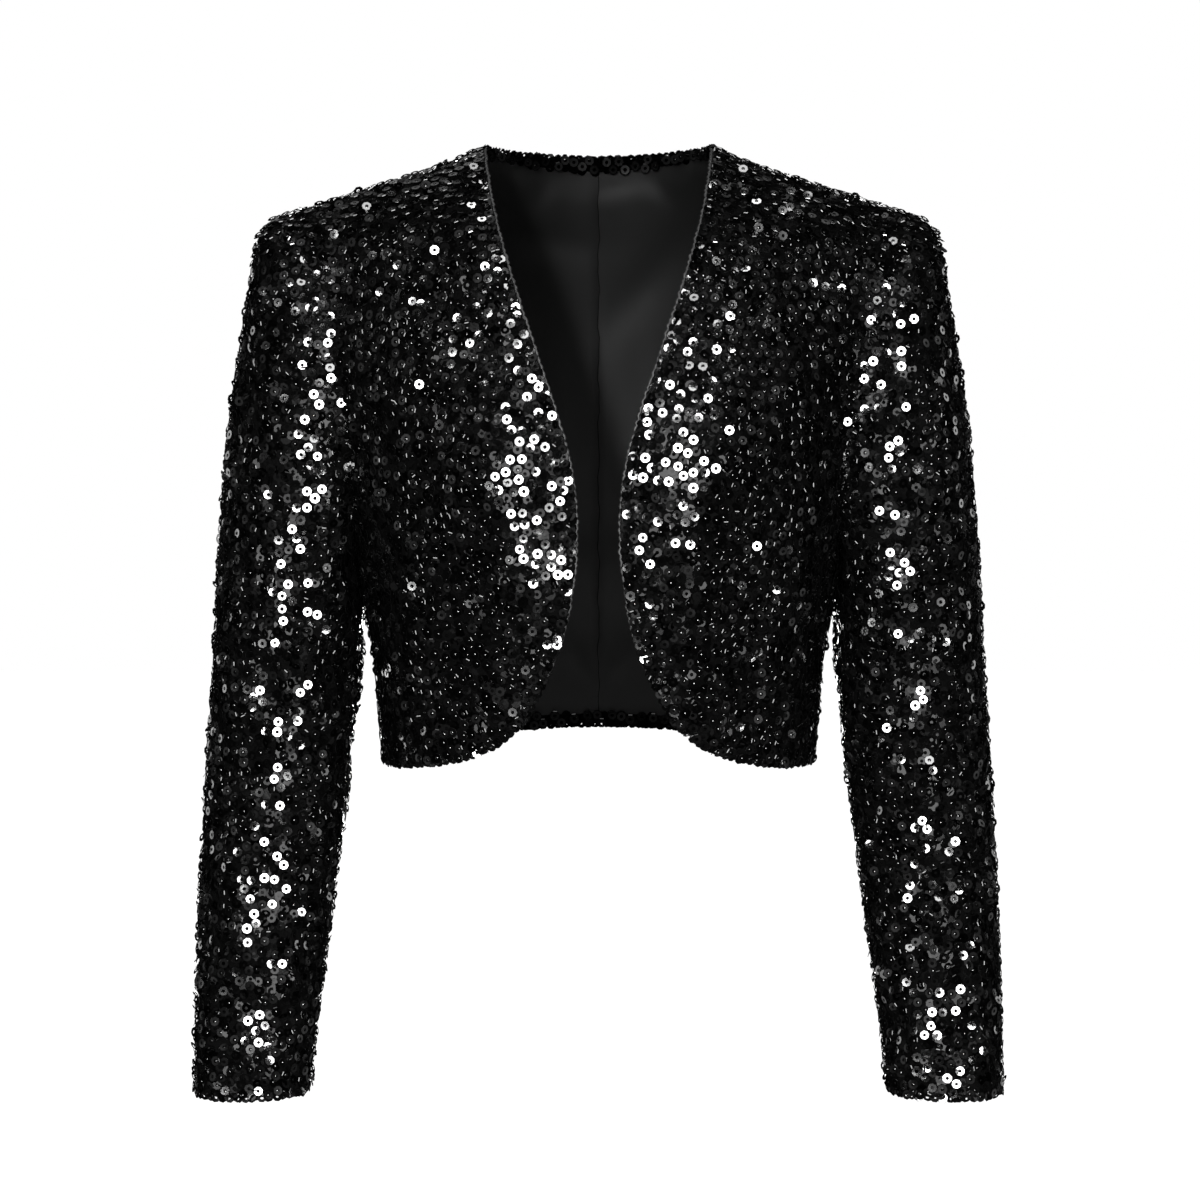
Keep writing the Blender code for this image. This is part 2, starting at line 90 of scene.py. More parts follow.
# Section shape: the powers of a squared-off ellipse
SQUARE_X, SQUARE_Y = 2.5, 2.0

# How the cloth rises above the underarm: the reach of its curve there, and its slope and reach at the top
FRONT_REACH, SEAM_REACH, SHALLOW = 1.42, 1.65, 40.0
FRONT_SLOPE, BACK_SLOPE = 0.12, 7.0
NAPE_REACH, NAPE_SLOPE, BACK_REACH = 250.0, 75.0, 1.0
EDGE_LEAD = 6.0
SIDE_POWER = 2.5
FRONT_EVENING, BACK_EVENING = 4, 10

# Bust fullness that the cut of each front gives, and how the front edge rolls back beside it
BUST_X, BUST_Z, BUST_WIDE, BUST_TALL, BUST_OUT = 66.0, -190.0, 31.0, 50.0, 9.5
ROLL_X, ROLL_WIDE, ROLL_TALL, ROLL_BACK = 10.0, 25.0, 75.0, 6.0

# Grid: columns across a front and half the back neckline, the share of the back's width that lies
# below the neckline, and where the rows lie
FRONT_COLUMNS, NECK_COLUMNS, BELOW_NECK = 12, 5, 0.4
LOW_HEIGHTS = (0, 7, 25, 45, 65, 85, 104, 121, 133, 139)
HIGH_SHARES = (0, 0.1, 0.2, 0.3, 0.4, 0.5, 0.6, 0.7, 0.8, 0.89, 0.967, 1)
LOW_ROWS, HIGH_ROWS = len(LOW_HEIGHTS) - 1, len(HIGH_SHARES) - 1
NECK = slice(FRONT_COLUMNS, FRONT_COLUMNS + 2 * NECK_COLUMNS + 1)

# Sections of the body from the hem up to the underarm
Section = namedtuple("Section", "z half_width front_y back_y")
BODY_SECTIONS = [
    Section(-380, 141.3, -100, 87),
    Section(-341, 144.8, -106, 88),
    Section(-312, 146.8, -112, 90),
    Section(-283, 152.2, -117, 94),
    Section(-262, 155.0, -120, 97),
    Section(-250, 156.6, -121, 98),
    Section(-241, 158.4, -121, 98),
]

# The front edge, from its rounded corner up to the neck
Edge = namedtuple("Edge", "z x")
FRONT_EDGE = [
    Edge(-344.5, 47.8),
    Edge(-318, 33.5),
    Edge(-291, 23.3),
    Edge(-265, 18.3),
    Edge(-240, 15.4),
    Edge(-202, 15.4),
    Edge(-165, 22.6),
    Edge(-114, 38.8),
    Edge(-63, 56.0),
    Edge(-11, 70.0),
    Edge(21.5, 76.0),
]

# Rings of the sleeve, from the armhole to the cuff: its outer and inner points, and its depth about a middle
Ring = namedtuple("Ring", "outer_x outer_z inner_x inner_z mid_y half_depth")
SLEEVE_RINGS = [
    Ring(TIP_X, TIP_Z, UNDERARM_X, UNDERARM_Z, UNDERARM_Y, 51.5),
    Ring(215.0, -27.5, 159.4, -245.0, 4, 52.5),
    Ring(220.3, -33.8, 159.5, -248.5, 4, 53.5),
    Ring(223.6, -43.5, 159.3, -252.0, 4, 54.5),
    Ring(227.5, -68.0, 158.9, -255.5, 4, 55.5),
    Ring(234.0, -108.0, 158.4, -260.0, 5, 56.5),
    Ring(241.0, -152.0, 157.9, -265.5, 6, 56.5),
    Ring(246.3, -205.0, 157.6, -272.5, 6, 55.5),
    Ring(249.8, -255.0, 157.6, -283.0, 6, 54.5),
    Ring(252.2, -298.0, 157.8, -306.0, 6, 53.0),
    Ring(255.0, -341.0, 161.0, -343.0, 5, 50.5),
    Ring(258.6, -393.0, 166.6, -393.0, 2, 47.5),
    Ring(261.4, -446.0, 174.0, -446.0, -5, 44.5),
    Ring(263.2, -499.0, 180.4, -499.0, -13, 41.0),
    Ring(264.4, -552.0, 187.4, -551.0, -22, 36.5),
    Ring(264.8, -596.0, 191.8, -594.5, -30, 33.5),
]
# How many rings its head and arm get, how far the armhole's own shape reaches, and rings without creases
HEAD_RINGS, ARM_RINGS = 6, 15
HEAD_REACH, HEAD_FADE, HEAD_PLAIN = 120.0, 1.5, 3
RING_SQUARE = 2.15
LONGEST_MITRE = 2.0

# Folds: a soft trough, or a ridge where the depth is negative, from one point to another. They end
# at a share of their depth, and fade out towards side seams and shoulders by these powers.
Fold = namedtuple("Fold", "x0 z0 x1 z1 width depth")
FOLD_END, HELD_SIDE, HELD_TOP = 0.45, 6, 8
FRONT_FOLDS = {
    "right": [
        Fold(112, 0, 104, -105, 15, 3.8),
        Fold(166, -150, 118, -205, 15, 3.0),
        Fold(84, -262, 92, -380, 13, 3.2),
        Fold(120, -240, 124, -380, 13, -2.6),
        Fold(92, -28, 190, -50, 22, -6.0),
        Fold(60, -232, 112, -262, 12, 2.2),
        Fold(30, -292, 66, -330, 13, 1.8),
    ],
    "left": [
        Fold(116, 4, 108, -85, 15, 3.4),
        Fold(168, -140, 112, -186, 16, 3.4),
        Fold(92, -250, 88, -380, 14, 2.8),
        Fold(124, -262, 118, -380, 12, -3.0),
        Fold(94, -28, 188, -48, 22, -6.0),
        Fold(148, -60, 96, -118, 13, 2.4),
        Fold(70, -240, 120, -276, 13, 2.4),
    ],
}
BACK_FOLDS = [
    Fold(-52, -60, -38, -235, 26, 2.4),
    Fold(60, -80, 34, -240, 24, 2.8),
    Fold(-118, -205, -84, -262, 17, 2.2),
    Fold(112, -215, 92, -300, 17, 2.4),
    Fold(-70, -275, -66, -380, 16, 2.6),
    Fold(8, -290, 4, -380, 18, 2.0),
]

# Sleeve folds: angle from the outer side towards the front, in degrees, and distance down the sleeve
Crease = namedtuple("Crease", "angle0 z0 angle1 z1 wide tall depth")
CREASE_PAST = 0.6
SLEEVE_CREASES = {
    "right": [
        Crease(118, -215, 60, -262, 26, 13, 2.6),
        Crease(150, -318, 80, -344, 28, 12, 2.6),
        Crease(210, -366, 140, -384, 30, 12, 2.4),
        Crease(20, -424, 80, -446, 30, 13, 1.8),
        Crease(250, -300, 310, -330, 30, 14, 2.2),
        Crease(120, -530, 60, -548, 30, 11, 1.4),
    ],
    "left": [
        Crease(122, -205, 66, -250, 26, 13, 2.4),
        Crease(154, -300, 88, -334, 28, 12, 2.8),
        Crease(206, -352, 132, -372, 30, 12, 2.2),
        Crease(30, -440, 92, -458, 30, 13, 1.8),
        Crease(246, -318, 300, -342, 30, 14, 2.2),
        Crease(110, -505, 50, -530, 30, 11, 1.5),
    ],
}


def smooth(at, values, where):
    """A smooth curve through values at the places in at, read at where."""
    at = np.asarray(at, float)
    values = np.asarray(values, float)
    slopes = np.gradient(values, at, axis=0)
    where = np.atleast_1d(np.clip(where, at[0], at[-1]))
    k = np.clip(np.searchsorted(at, where, side="right") - 1, 0, len(at) - 2)
    width = at[k + 1] - at[k]
    t = (where - at[k]) / width
    if values.ndim > 1:
        width, t = width[:, None], t[:, None]
    return hermite(values[k], values[k + 1], slopes[k] * width, slopes[k + 1] * width, t)


def hermite(start, end, leaving, arriving, t):
    """The cubic between two points that leaves and arrives along the given directions."""
    return (
        (2 * t**3 - 3 * t**2 + 1) * start
        + (t**3 - 2 * t**2 + t) * leaving
        + (3 * t**2 - 2 * t**3) * end
        + (t**3 - t**2) * arriving
    )


def rising(share):
    """The share, from 0 to 1, rising smoothly between level ends."""
    share = np.clip(share, 0, 1)
    return share**2 * (3 - 2 * share)


def unit(vectors):
    length = np.linalg.norm(vectors, axis=-1, keepdims=True)
    return vectors / np.maximum(length, 1e-9)


def section_at(z):
    """Half width, front depth and back depth of the body at a height."""
    table = np.array(BODY_SECTIONS, float)
    return smooth(table[:, 0], table[:, 1:], z)[0]


def edge_x(z):
    """How far the front edge lies from the centre at a height."""
    table = np.array(FRONT_EDGE, float)
    return smooth(table[:, 0], table[:, 1], z)


def around(half_width, depth, angle):
    """A point on the squared ellipse that the body's sections follow, from the centre to the side."""
    x = half_width * np.sin(angle) ** (2 / SQUARE_X)
    y = UNDERARM_Y + (depth - UNDERARM_Y) * np.clip(np.cos(angle), 0, 1) ** (2 / SQUARE_Y)
    return x, y


def angle_of(x, half_width):
    return np.arcsin((x / half_width) ** (SQUARE_X / 2))


def armhole(share, depth, curve):
    """The armhole from the underarm, share 0, to the shoulder tip, share 1, on its front or back side."""
    turn = np.pi * (1 - share)
    height = (1 + np.cos(turn)) / 2
    x = UNDERARM_X + (TIP_X - UNDERARM_X) * height**curve
    y = UNDERARM_Y * (1 - height) + depth * np.sin(turn)
    z = UNDERARM_Z + (TIP_Z - UNDERARM_Z) * height
    return np.stack([x, y, z], axis=-1)


def low_rows_front():
    """Rows of the front from the hem up to the underarm, from the front edge to the side seam."""
    rows = []
    for height in LOW_HEIGHTS:
        side_z = HEM_Z + height
        share = height / LOW_HEIGHTS[-1]
        start_z = CORNER_Z + share * (UNDERARM_Z + EDGE_LEAD - CORNER_Z)
        half_width, depth, _ = section_at(side_z)
        start_x = edge_x(start_z)[0]
        angle = np.linspace(angle_of(start_x, half_width), np.pi / 2, FRONT_COLUMNS + 1)
        x, y = around(half_width, depth, angle)
        left = 1 - (x - start_x) / (half_width - start_x)
        rise = (1 - CORNER_SHARE) * left + CORNER_SHARE * np.clip(left, 0, 1) ** CORNER_POWER
        rows.append(np.stack([x, y, side_z + (start_z - side_z) * rise], axis=-1))
    return np.array(rows)


def low_rows_back():
    """Rows of half the back from the hem up to the underarm, from the centre to the side seam."""
    below_neck = angle_of(BELOW_NECK, 1.0)
    angle = np.concatenate(
        [
            np.linspace(0, below_neck, NECK_COLUMNS + 1)[:-1],
            np.linspace(below_neck, np.pi / 2, FRONT_COLUMNS + 1),
        ]
    )
    rows = []
    for height in LOW_HEIGHTS:
        half_width, _, depth = section_at(HEM_Z + height)
        x, y = around(half_width, depth, angle)
        rise = BACK_HEM_RISE * (1 - height / LOW_HEIGHTS[-1]) * (1 - (x / half_width) ** 2)
        rows.append(np.stack([x, y, HEM_Z + height + rise], axis=-1))
    return np.array(rows)


def seam_points():
    """The shoulder seam from the neck point to the tip."""
    share = np.linspace(0, 1, FRONT_COLUMNS + 1)
    x = NECK_X + (TIP_X - NECK_X) * share
    z = NECK_Z + (TIP_Z - NECK_Z) * share - SHOULDER_SAG * np.sin(np.pi * np.sqrt(share))
    return np.stack([x, 0 * x, z], axis=-1)


def neckline_points():
    """Half the back neckline, from the nape to the neck point."""
    turn = np.linspace(0, np.pi / 2, NECK_COLUMNS + 1)
    x = NECK_X * np.sin(turn) ** (2 / NECK_SQUARE)
    y = NAPE_Y * np.clip(np.cos(turn), 0, 1) ** (2 / NECK_SQUARE)
    z = NAPE_Z + (NECK_Z - NAPE_Z) * (x / NECK_X) ** 2
    return np.stack([x, y, z], axis=-1)


def climb(low, top, arriving, stretch, side):
    """Rows from the underarm up to the top edge. Each column is one cubic, and the last is the armhole."""
    start = low[-1]
    leaving = unit(low[-2] - low[-4])
    reach = np.linalg.norm(top - start, axis=-1, keepdims=True)
    leaving = leaving * reach * stretch
    t = np.array(HIGH_SHARES)[:, None, None]
    rows = hermite(start[None], top[None], leaving[None], arriving[None], t)
    across = np.linspace(0, 1, len(start))[None, :, None] ** SIDE_POWER
    return rows + across * (side - rows[:, -1])[:, None, :]


def high_rows_front(low):
    top = seam_points()
    depth = np.maximum(np.abs(low[-1][:, 1:2]), SHALLOW)
    arriving = np.array([0, 1.0, FRONT_SLOPE]) * depth * SEAM_REACH
    side = armhole(np.array(HIGH_SHARES), -ARMHOLE_FRONT_DEPTH, ARMHOLE_FRONT_CURVE)
    rows = climb(low, top, arriving, FRONT_REACH, side)
    toward_edge = np.linspace(1, 0, FRONT_COLUMNS + 1) ** 2
    for row in rows:
        row[:, 0] += toward_edge * (edge_x(row[0, 2])[0] - row[0, 0])
    return rows


def high_rows_back(low):
    top = np.concatenate([neckline_points()[:-1], seam_points()])
    depth = np.maximum(np.abs(low[-1][:, 1]), SHALLOW)
    turned = rising(np.arange(len(top)) / NECK_COLUMNS)
    slope = np.radians(NAPE_SLOPE + (BACK_SLOPE - NAPE_SLOPE) * turned)
    length = depth * SEAM_REACH * turned + NAPE_REACH * (1 - turned)
    arriving = -np.stack([0 * slope, np.cos(slope), -np.sin(slope)], axis=-1) * length[:, None]
    stretch = (BACK_REACH + (FRONT_REACH - BACK_REACH) * turned)[:, None]
    side = armhole(np.array(HIGH_SHARES), ARMHOLE_BACK_DEPTH, ARMHOLE_BACK_CURVE)
    return climb(low, top, arriving, stretch, side)


def evened(points, rounds):
    """The grid with each row above the underarm smoothed along itself, least beside its two ends."""
    share = np.array(HIGH_SHARES)
    weight = np.concatenate([np.zeros(LOW_ROWS), 2 * share * (1 - share)])
    for _ in range(rounds):
        middle = (points[:, :-2] + points[:, 2:]) / 2
        points[:, 1:-1] += weight[:, None, None] * (middle - points[:, 1:-1])
    return points


def ringed(grid):
    """The grid of a tube with its first column again at its end."""
    return np.concatenate([grid, grid[:, :1]], axis=1)


def vertex_normals(points, closed=False):
    """Unit normals of a grid, outward where rows rise and columns run to the wearer's left."""
    if closed:
        points = ringed(points)
    across = points[1:, 1:] - points[:-1, :-1]
    back_across = points[1:, :-1] - points[:-1, 1:]
    faces = unit(np.cross(across, back_across))
    total = np.zeros_like(points)
    for rows in (np.s_[1:], np.s_[:-1]):
        for columns in (np.s_[1:], np.s_[:-1]):
            total[rows, columns] += faces
    if closed:
        total[:, 0] += total[:, -1]
        total = total[:, :-1]
    return unit(total)


def near_line(x, z, fold):
    """How near each place is to a fold's line, from 0 to 1, fading out towards the line's ends."""
    line = np.array([fold.x1 - fold.x0, fold.z1 - fold.z0])
    length = np.hypot(*line)
    along = ((x - fold.x0) * line[0] + (z - fold.z0) * line[1]) / length**2
    away = ((x - fold.x0) * line[1] - (z - fold.z0) * line[0]) / length
    past = np.maximum(np.abs(along - 0.5) - 0.5, 0) * length
    fade = FOLD_END + (1 - FOLD_END) * np.sin(np.pi * np.clip(along, 0, 1))
    return np.exp(-((away / fold.width) ** 2) - (past / fold.width) ** 2) * fade


def folded(points, folds, held):
    """The panel with its folds pressed in along its normals, fading to nothing where it is held."""
    x, z = points[..., 0], points[..., 2]
    depth = sum(fold.depth * near_line(x, z, fold) for fold in folds)
    return points - vertex_normals(points) * (depth * held)[..., None]


def held_at_seams(rows, columns, from_centre):
    """1 over the panel and 0 at its side seam, armhole and shoulder seam."""
    side = 1 - np.abs(np.linspace(-1 if from_centre else 0, 1, columns)) ** HELD_SIDE
    top = 1 - np.linspace(0, 1, rows) ** HELD_TOP
    return top[:, None] * side[None, :]


def near_spot(points, x, z, wide, tall):
    """How near each place is to a spot, from 0 to 1."""
    return np.exp(-(((points[..., 0] - x) / wide) ** 2 + ((points[..., 2] - z) / tall) ** 2))


def front_points(side):
    """Grid of one front, on the wearer's left, from hem to shoulder seam."""
    low = low_rows_front()
    points = evened(np.concatenate([low[:-1], high_rows_front(low)]), FRONT_EVENING)
    held = held_at_seams(len(points), FRONT_COLUMNS + 1, False)
    bust = near_spot(points, BUST_X, BUST_Z, BUST_WIDE, BUST_TALL)
    beside = near_spot(points, ROLL_X, BUST_Z, ROLL_WIDE, ROLL_TALL)
    fullness = BUST_OUT * bust - ROLL_BACK * beside
    points = points + vertex_normals(points) * (fullness * held)[..., None]
    return folded(points, FRONT_FOLDS[side], held)


def back_points():
    """Grid of the whole back, from the wearer's right side to the left."""
    low = low_rows_back()
    half = np.concatenate([low[:-1], high_rows_back(low)])
    other = half[:, :0:-1] * MIRROR
    points = evened(np.concatenate([other, half], axis=1), BACK_EVENING)
    held = held_at_seams(len(points), points.shape[1], True)
    return folded(points[:, ::-1], BACK_FOLDS, held[:, ::-1])[:, ::-1]


def ring_points(ring, angles):
    """One ring of the sleeve. Angle 0 is its outer side and 90 degrees its front."""
    outer = np.array([ring.outer_x, ring.mid_y, ring.outer_z])
    inner = np.array([ring.inner_x, ring.mid_y, ring.inner_z])
    power = 2 / RING_SQUARE
    cosine, sine = np.cos(angles), np.sin(angles)
    along = np.sign(cosine) * np.abs(cosine) ** power
    across = np.sign(sine) * np.abs(sine) ** power
    middle, half = (outer + inner) / 2, (outer - inner) / 2
    points = middle + along[:, None] * half
    points[:, 1] -= across * ring.half_depth
    return points


def sleeve_points(side, armhole_loop):
    """Rings of the left sleeve from the armhole to the cuff. The first ring is the armhole itself."""
    turn = np.pi * (1 - np.array(HIGH_SHARES))
    angles = np.concatenate([turn[::-1], 2 * np.pi - turn[1:-1]])
    rings = np.array([ring_points(ring, angles) for ring in SLEEVE_RINGS])
    place = spread(rings)
    fading = np.clip(1 - place / HEAD_REACH, 0, 1) ** HEAD_FADE
    rings = rings + fading[:, None, None] * (armhole_loop - rings[0])
    where = np.concatenate([place[:HEAD_RINGS], np.linspace(place[HEAD_RINGS], place[-1], ARM_RINGS)])
    points = np.stack([smooth(place, rings[:, j], where) for j in range(len(angles))], axis=1)
    free = np.clip((np.arange(len(points)) - HEAD_PLAIN) / HEAD_PLAIN, 0, 1)[:, None]
    depth = creased(points[..., 2], np.degrees(angles), SLEEVE_CREASES[side]) * free
    return points - vertex_normals(points, closed=True) * depth[..., None]


def creased(z, degrees, creases):
    """How deep the sleeve's creases are at each height and angle."""
    depth = np.zeros_like(z)
    for crease in creases:
        along = (degrees - crease.angle0) / (crease.angle1 - crease.angle0)
        along = np.clip(along, -CREASE_PAST, 1 + CREASE_PAST)
        line_z = crease.z0 + along * (crease.z1 - crease.z0)
        half_angle = abs(crease.angle1 - crease.angle0) / 2 + crease.wide
        near = np.exp(-(((degrees - (crease.angle0 + crease.angle1) / 2) / half_angle) ** 4))
        depth += crease.depth * near * np.exp(-(((z - line_z) / crease.tall) ** 2))
    return depth


# Each side of a grid, and the row or column next to it
SIDES = {
    "bottom": (np.s_[0, :], np.s_[1, :]),
    "top": (np.s_[-1, :], np.s_[-2, :]),
    "start": (np.s_[:, 0], np.s_[:, 1]),
    "end": (np.s_[:, -1], np.s_[:, -2]),
}


def trimmed(points, inward, sides, gap):
    """The grid with its seam edges drawn back by half a gap, square to the edge and to its inward lines."""
    moved = points.copy()
    for side in sides:
        edge, neighbour = SIDES[side]
        line = points[edge]
        direction = unit(np.cross(inward[edge], unit(np.gradient(line, axis=0))))
        sign = np.sign(np.sum(direction * (points[neighbour] - line), axis=-1, keepdims=True))
        moved[edge] += direction * sign * gap / 2
    return moved


def drawn_back(skin, sides, distance):
    """The grid with some sides moved towards their neighbours, along the skin."""
    moved = skin.copy()
    for side in sides:
        edge, neighbour = SIDES[side]
        moved[edge] += unit(skin[neighbour] - skin[edge]) * distance
    return moved


def mirrored(points):
    """The other side's grid, with its columns turned round so that its faces still point out."""
    return (points * MIRROR)[:, ::-1]


def mitre(one, other):
    """The line along which two walls meet: it bisects them, and is longer where they meet at an angle."""
    middle = one + other
    half = np.linalg.norm(middle, axis=-1, keepdims=True) / 2
    return -unit(middle) * np.minimum(1 / np.maximum(half, 1e-6), LONGEST_MITRE)


def body_grids():
    """Outer points of the back, the fronts and the sleeves, and the lines from them through the wall.

    The fronts and sleeves are all on the wearer's left. The lines are one unit long in the middle of a
    panel. Where panels meet at a seam they share their lines, so that their edges lie face to face.
    """
    back = back_points()
    back_lines = -vertex_normals(back[:, ::-1])[:, ::-1]
    middle = NECK_COLUMNS + FRONT_COLUMNS
    shoulder = slice(NECK_COLUMNS, None)
    grids = {"back": (back, back_lines)}
    for side, step in (("left", 1), ("right", -1)):
        flip = np.array([step, 1, 1])
        half = back[:, middle::step] * flip
        half_out = -back_lines[:, middle::step] * flip
        front = front_points(side)
        front_out = vertex_normals(front)
        armhole_loop = np.concatenate([front[:LOW_ROWS - 1:-1, -1], half[LOW_ROWS + 1 : -1, -1]])
        sleeve = sleeve_points(side, armhole_loop)
        sleeve_out = vertex_normals(sleeve, closed=True)

        front_lines, half_lines, sleeve_lines = -front_out, -half_out, -sleeve_out
        front_lines[-1] = half_lines[-1, shoulder] = mitre(front_out[-1], half_out[-1, shoulder])
        side_seam = mitre(front_out[: LOW_ROWS + 1, -1], half_out[: LOW_ROWS + 1, -1])
        front_lines[: LOW_ROWS + 1, -1] = half_lines[: LOW_ROWS + 1, -1] = side_seam
        body_out = np.concatenate([front_out[: LOW_ROWS - 1 : -1, -1], half_out[LOW_ROWS + 1 : -1, -1]])
        for place, row in ((0, -1), (HIGH_ROWS, LOW_ROWS)):
            body_out[place] = unit(front_out[row, -1] + half_out[row, -1])
        sleeve_lines[0] = mitre(body_out, sleeve_out[0])
        front_lines[LOW_ROWS:, -1] = sleeve_lines[0, HIGH_ROWS::-1]
        half_lines[LOW_ROWS:, -1] = np.concatenate([sleeve_lines[0, HIGH_ROWS:], sleeve_lines[0, :1]])
        back_lines[:, middle::step] = half_lines * flip
        grids[side] = (front, front_lines, sleeve, sleeve_lines)
    return grids


# How finely the scene divides each step of the solids' grids
ROW_STEPS, COLUMN_STEPS, RING_STEPS, TURN_STEPS = 2, 3, 3, 2
LINING_ROW_STEPS, LINING_COLUMN_STEPS = 4, 5
CORNER_FADE, SHARP_ANGLE = 8, 50.0

# Sequins, in millimetres and degrees: a flat ring with a hole and a lip that turns down, over plain discs
SEQUIN_RADIUS, RING_RADIUS, HOLE_RADIUS = 3.45, 3.05, 1.2
CUP_RISE, LIP_DROP = 0.04, 0.34
SEQUIN_SIDES = 8
TOP_SPACING, RING_SPACING, UNDER_SPACING = 6.2, 4.4, 5.2
TRIES = 14
UNDER_LIFT, RING_LIFT, TOP_LIFT = (0.3, 0.6), (0.7, 1.4), (2.0, 2.7)
UNDER_TILT, MOST_LEAN, MOST_SUNK = 14.0, 50.0, 1.2
SIZE_SPREAD, UPRIGHT = 0.03, 0.8
EDGE_SPACING, EDGE_JITTER = 5.0, 0.12

# A small bead at the hole of some sequins, where the thread holds it, but not where one faces the front
BEAD_RADIUS, BEAD_HEIGHT, BEAD_DROP, BEAD_SHARE, BEAD_SIDES = 0.95, 0.95, 0.75, 0.6, 5
BEAD_SPREAD, BEAD_FACING = 0.2, 0.955

# The rolled edge of each front, pushed out a little by the sequins beside it
ROLL_RADIUS, ROLL_OUT, ROLL_IN, ROLL_STEP, ROLL_SIDES = 1.05, 0.4, 0.5, 1.3, 6
SCALLOP, SCALLOP_LEAST, SCALLOP_PITCH, SCALLOP_JITTER = 1.8, 0.3, 4.6, 0.25

# Sequins on a free edge: how they turn from facing out of the edge, 0, to facing as the panel does, 90,
# how far they lie off it and how far they are set back from it
EdgeRow = namedtuple("EdgeRow", "least most near far back")
EDGE_ROWS = (EdgeRow(20.0, 50.0, 0.2, 0.8, 0.0), EdgeRow(60.0, 85.0, 0.6, 1.2, 0.0))
ROLLED_EDGE_ROWS = (EdgeRow(78.0, 88.0, 0.8, 1.6, 2.3),)
EDGE_CLEAR = 2.6

# Small soft undulations of the cloth: how many waves, their lengths and how steep they are on each
# panel. The sequins on a turned-in edge lean towards the front instead.
WAVE_COUNT, WAVE_LENGTHS, WAVE_SEED = 28, (17.0, 48.0), 1000
TURNED_FORWARD = np.array([0, -0.9, 0])
STEEPNESS = {"back": 0.08, "front": 0.05, "sleeve": 0.14, "edge": 0.0}

# How far sequins lean at random: most of them by the small angle, and a share of them by the wide one
Lean = namedtuple("Lean", "small wide wide_share")
LEANS = {
    "back": Lean(4.5, 15.0, 0.35),
    "front": Lean(2.3, 19.0, 0.32),
    "sleeve": Lean(5.5, 20.0, 0.34),
    "edge": Lean(3.0, 6.0, 0.3),
}

# Near the shoulder line and beside the neck the sequins stand on edge, turned up
NECK_HALF, NECK_TOP, SHOULDER_FALL = 75.0, 24.0, 0.3
CROWN_ELEVATION, CROWN_GLOSS, CROWN_REACH = 64.0, 0.3, 2.0
CROWN_AT, CROWN_DEEP = (75.0, 130.0, 220.0), (78.0, 46.0, 34.0)

# How the lining lies off the back: a soft rise between its seams, with folds pressed into it
LINING_RISE, LEAST_RISE, RISE_WIDTH = 2.4, 0.1, 24.0
SEAM_WIDTH, SEAM_DIP, SEAM_PART = 2.0, 0.45, 0.26
LINING_FOLDS = [
    Fold(-29, 14, -42, -12, 6, 2.4),
    Fold(30, 14, 48, -8, 6, 2.4),
    Fold(72, -26, 8, -94, 15, 2.6),
    Fold(-64, -34, -6, -42, 11, 2.4),
    Fold(2, -3, 24, 6, 5, 1.6),
    Fold(20, -60, 14, -150, 12, -1.4),
    Fold(-34, -70, -26, -190, 15, 2.0),
    Fold(44, -120, 30, -230, 16, 1.8),
    Fold(-14, -200, -18, -320, 13, -1.3),
    Fold(0, -340, -26, -310, 7, 2.0),
    Fold(0, -340, 24, -316, 7, 2.0),
    Fold(-95, -120, -70, -260, 20, 2.4),
    Fold(98, -140, 74, -290, 20, 2.4),
]

# How the centre seam wanders from side to side
Wave = namedtuple("Wave", "length size start")
SEAM_WAVES = (Wave(38.0, 0.55, 0.7), Wave(17.0, 0.35, 2.1))

# How strongly the plastic of the sequins bends light
SEQUIN_IOR = 1.65

# The studio, in metres and degrees
AIM, SHOULDERS, NAPE = (0.001, 0, -0.275), (0.0, 0.0, 0.0), (0, 0.07, 0.01)
CAMERA_LENS, CAMERA_SENSOR, CAMERA_ELEVATION, CAMERA_DISTANCE = 118, 36, 4.5, 2.6
FLOOR_HALF, FLOOR_Z = 8, -1.1
SPOT_ANGLE, RIM_HEIGHT = 8.0, 1.3

# Lamps, in metres and watts, each with the group of pieces that it lights, or None where it lights all
Lamp = namedtuple("Lamp", "name place aim shape size power lights")
LAMPS = [
    Lamp("key", (0.02, -2.75, -0.2), AIM, "DISK", 1.7, 480, "outside"),
    Lamp("upper_key_0", (-0.85, -2.1, 0.9), AIM, "DISK", 0.3, 15, "outside"),
    Lamp("outer_key_0", (-1.55, -1.75, 1.2), AIM, "DISK", 0.32, 17, "outside"),
    Lamp("upper_key_2", (0.85, -2.1, 0.9), AIM, "DISK", 0.3, 15, "outside"),
    Lamp("outer_key_2", (1.55, -1.75, 1.2), AIM, "DISK", 0.32, 17, "outside"),
    Lamp("inside_fill", (-0.25, -1.35, 0.95), AIM, "DISK", 1.4, 3.2, "inside"),
    Lamp("inside_spot", (-0.5, -1.5, 0.7), NAPE, "SPOT", 0.25, 520, "inside"),
    Lamp("top", (0.0, -0.5, 1.5), AIM, "DISK", 0.7, 12, None),
    Lamp("crown", (0.0, 0.35, 1.6), SHOULDERS, "DISK", 0.6, 12, "outside"),
    Lamp("high_front", (0.0, -1.5, 1.5), SHOULDERS, "DISK", 0.7, 16, "outside"),
    Lamp("back_key", (0.0, 2.75, -0.45), AIM, "DISK", 0.9, 110, "behind"),
    Lamp("sleeve_back_key", (0.0, 2.75, -0.45), AIM, "DISK", 0.9, 40, "sleeves"),
    Lamp("rim_0", (-1.8, 0.9, -0.1), AIM, "RECTANGLE", 0.25, 2.5, None),
    Lamp("rim_2", (1.8, 0.9, -0.1), AIM, "RECTANGLE", 0.25, 2.5, None),
]


def run_up(steps):
    """Distances from the first of several points, from the steps between them."""
    return np.concatenate([[0], np.cumsum(steps)])


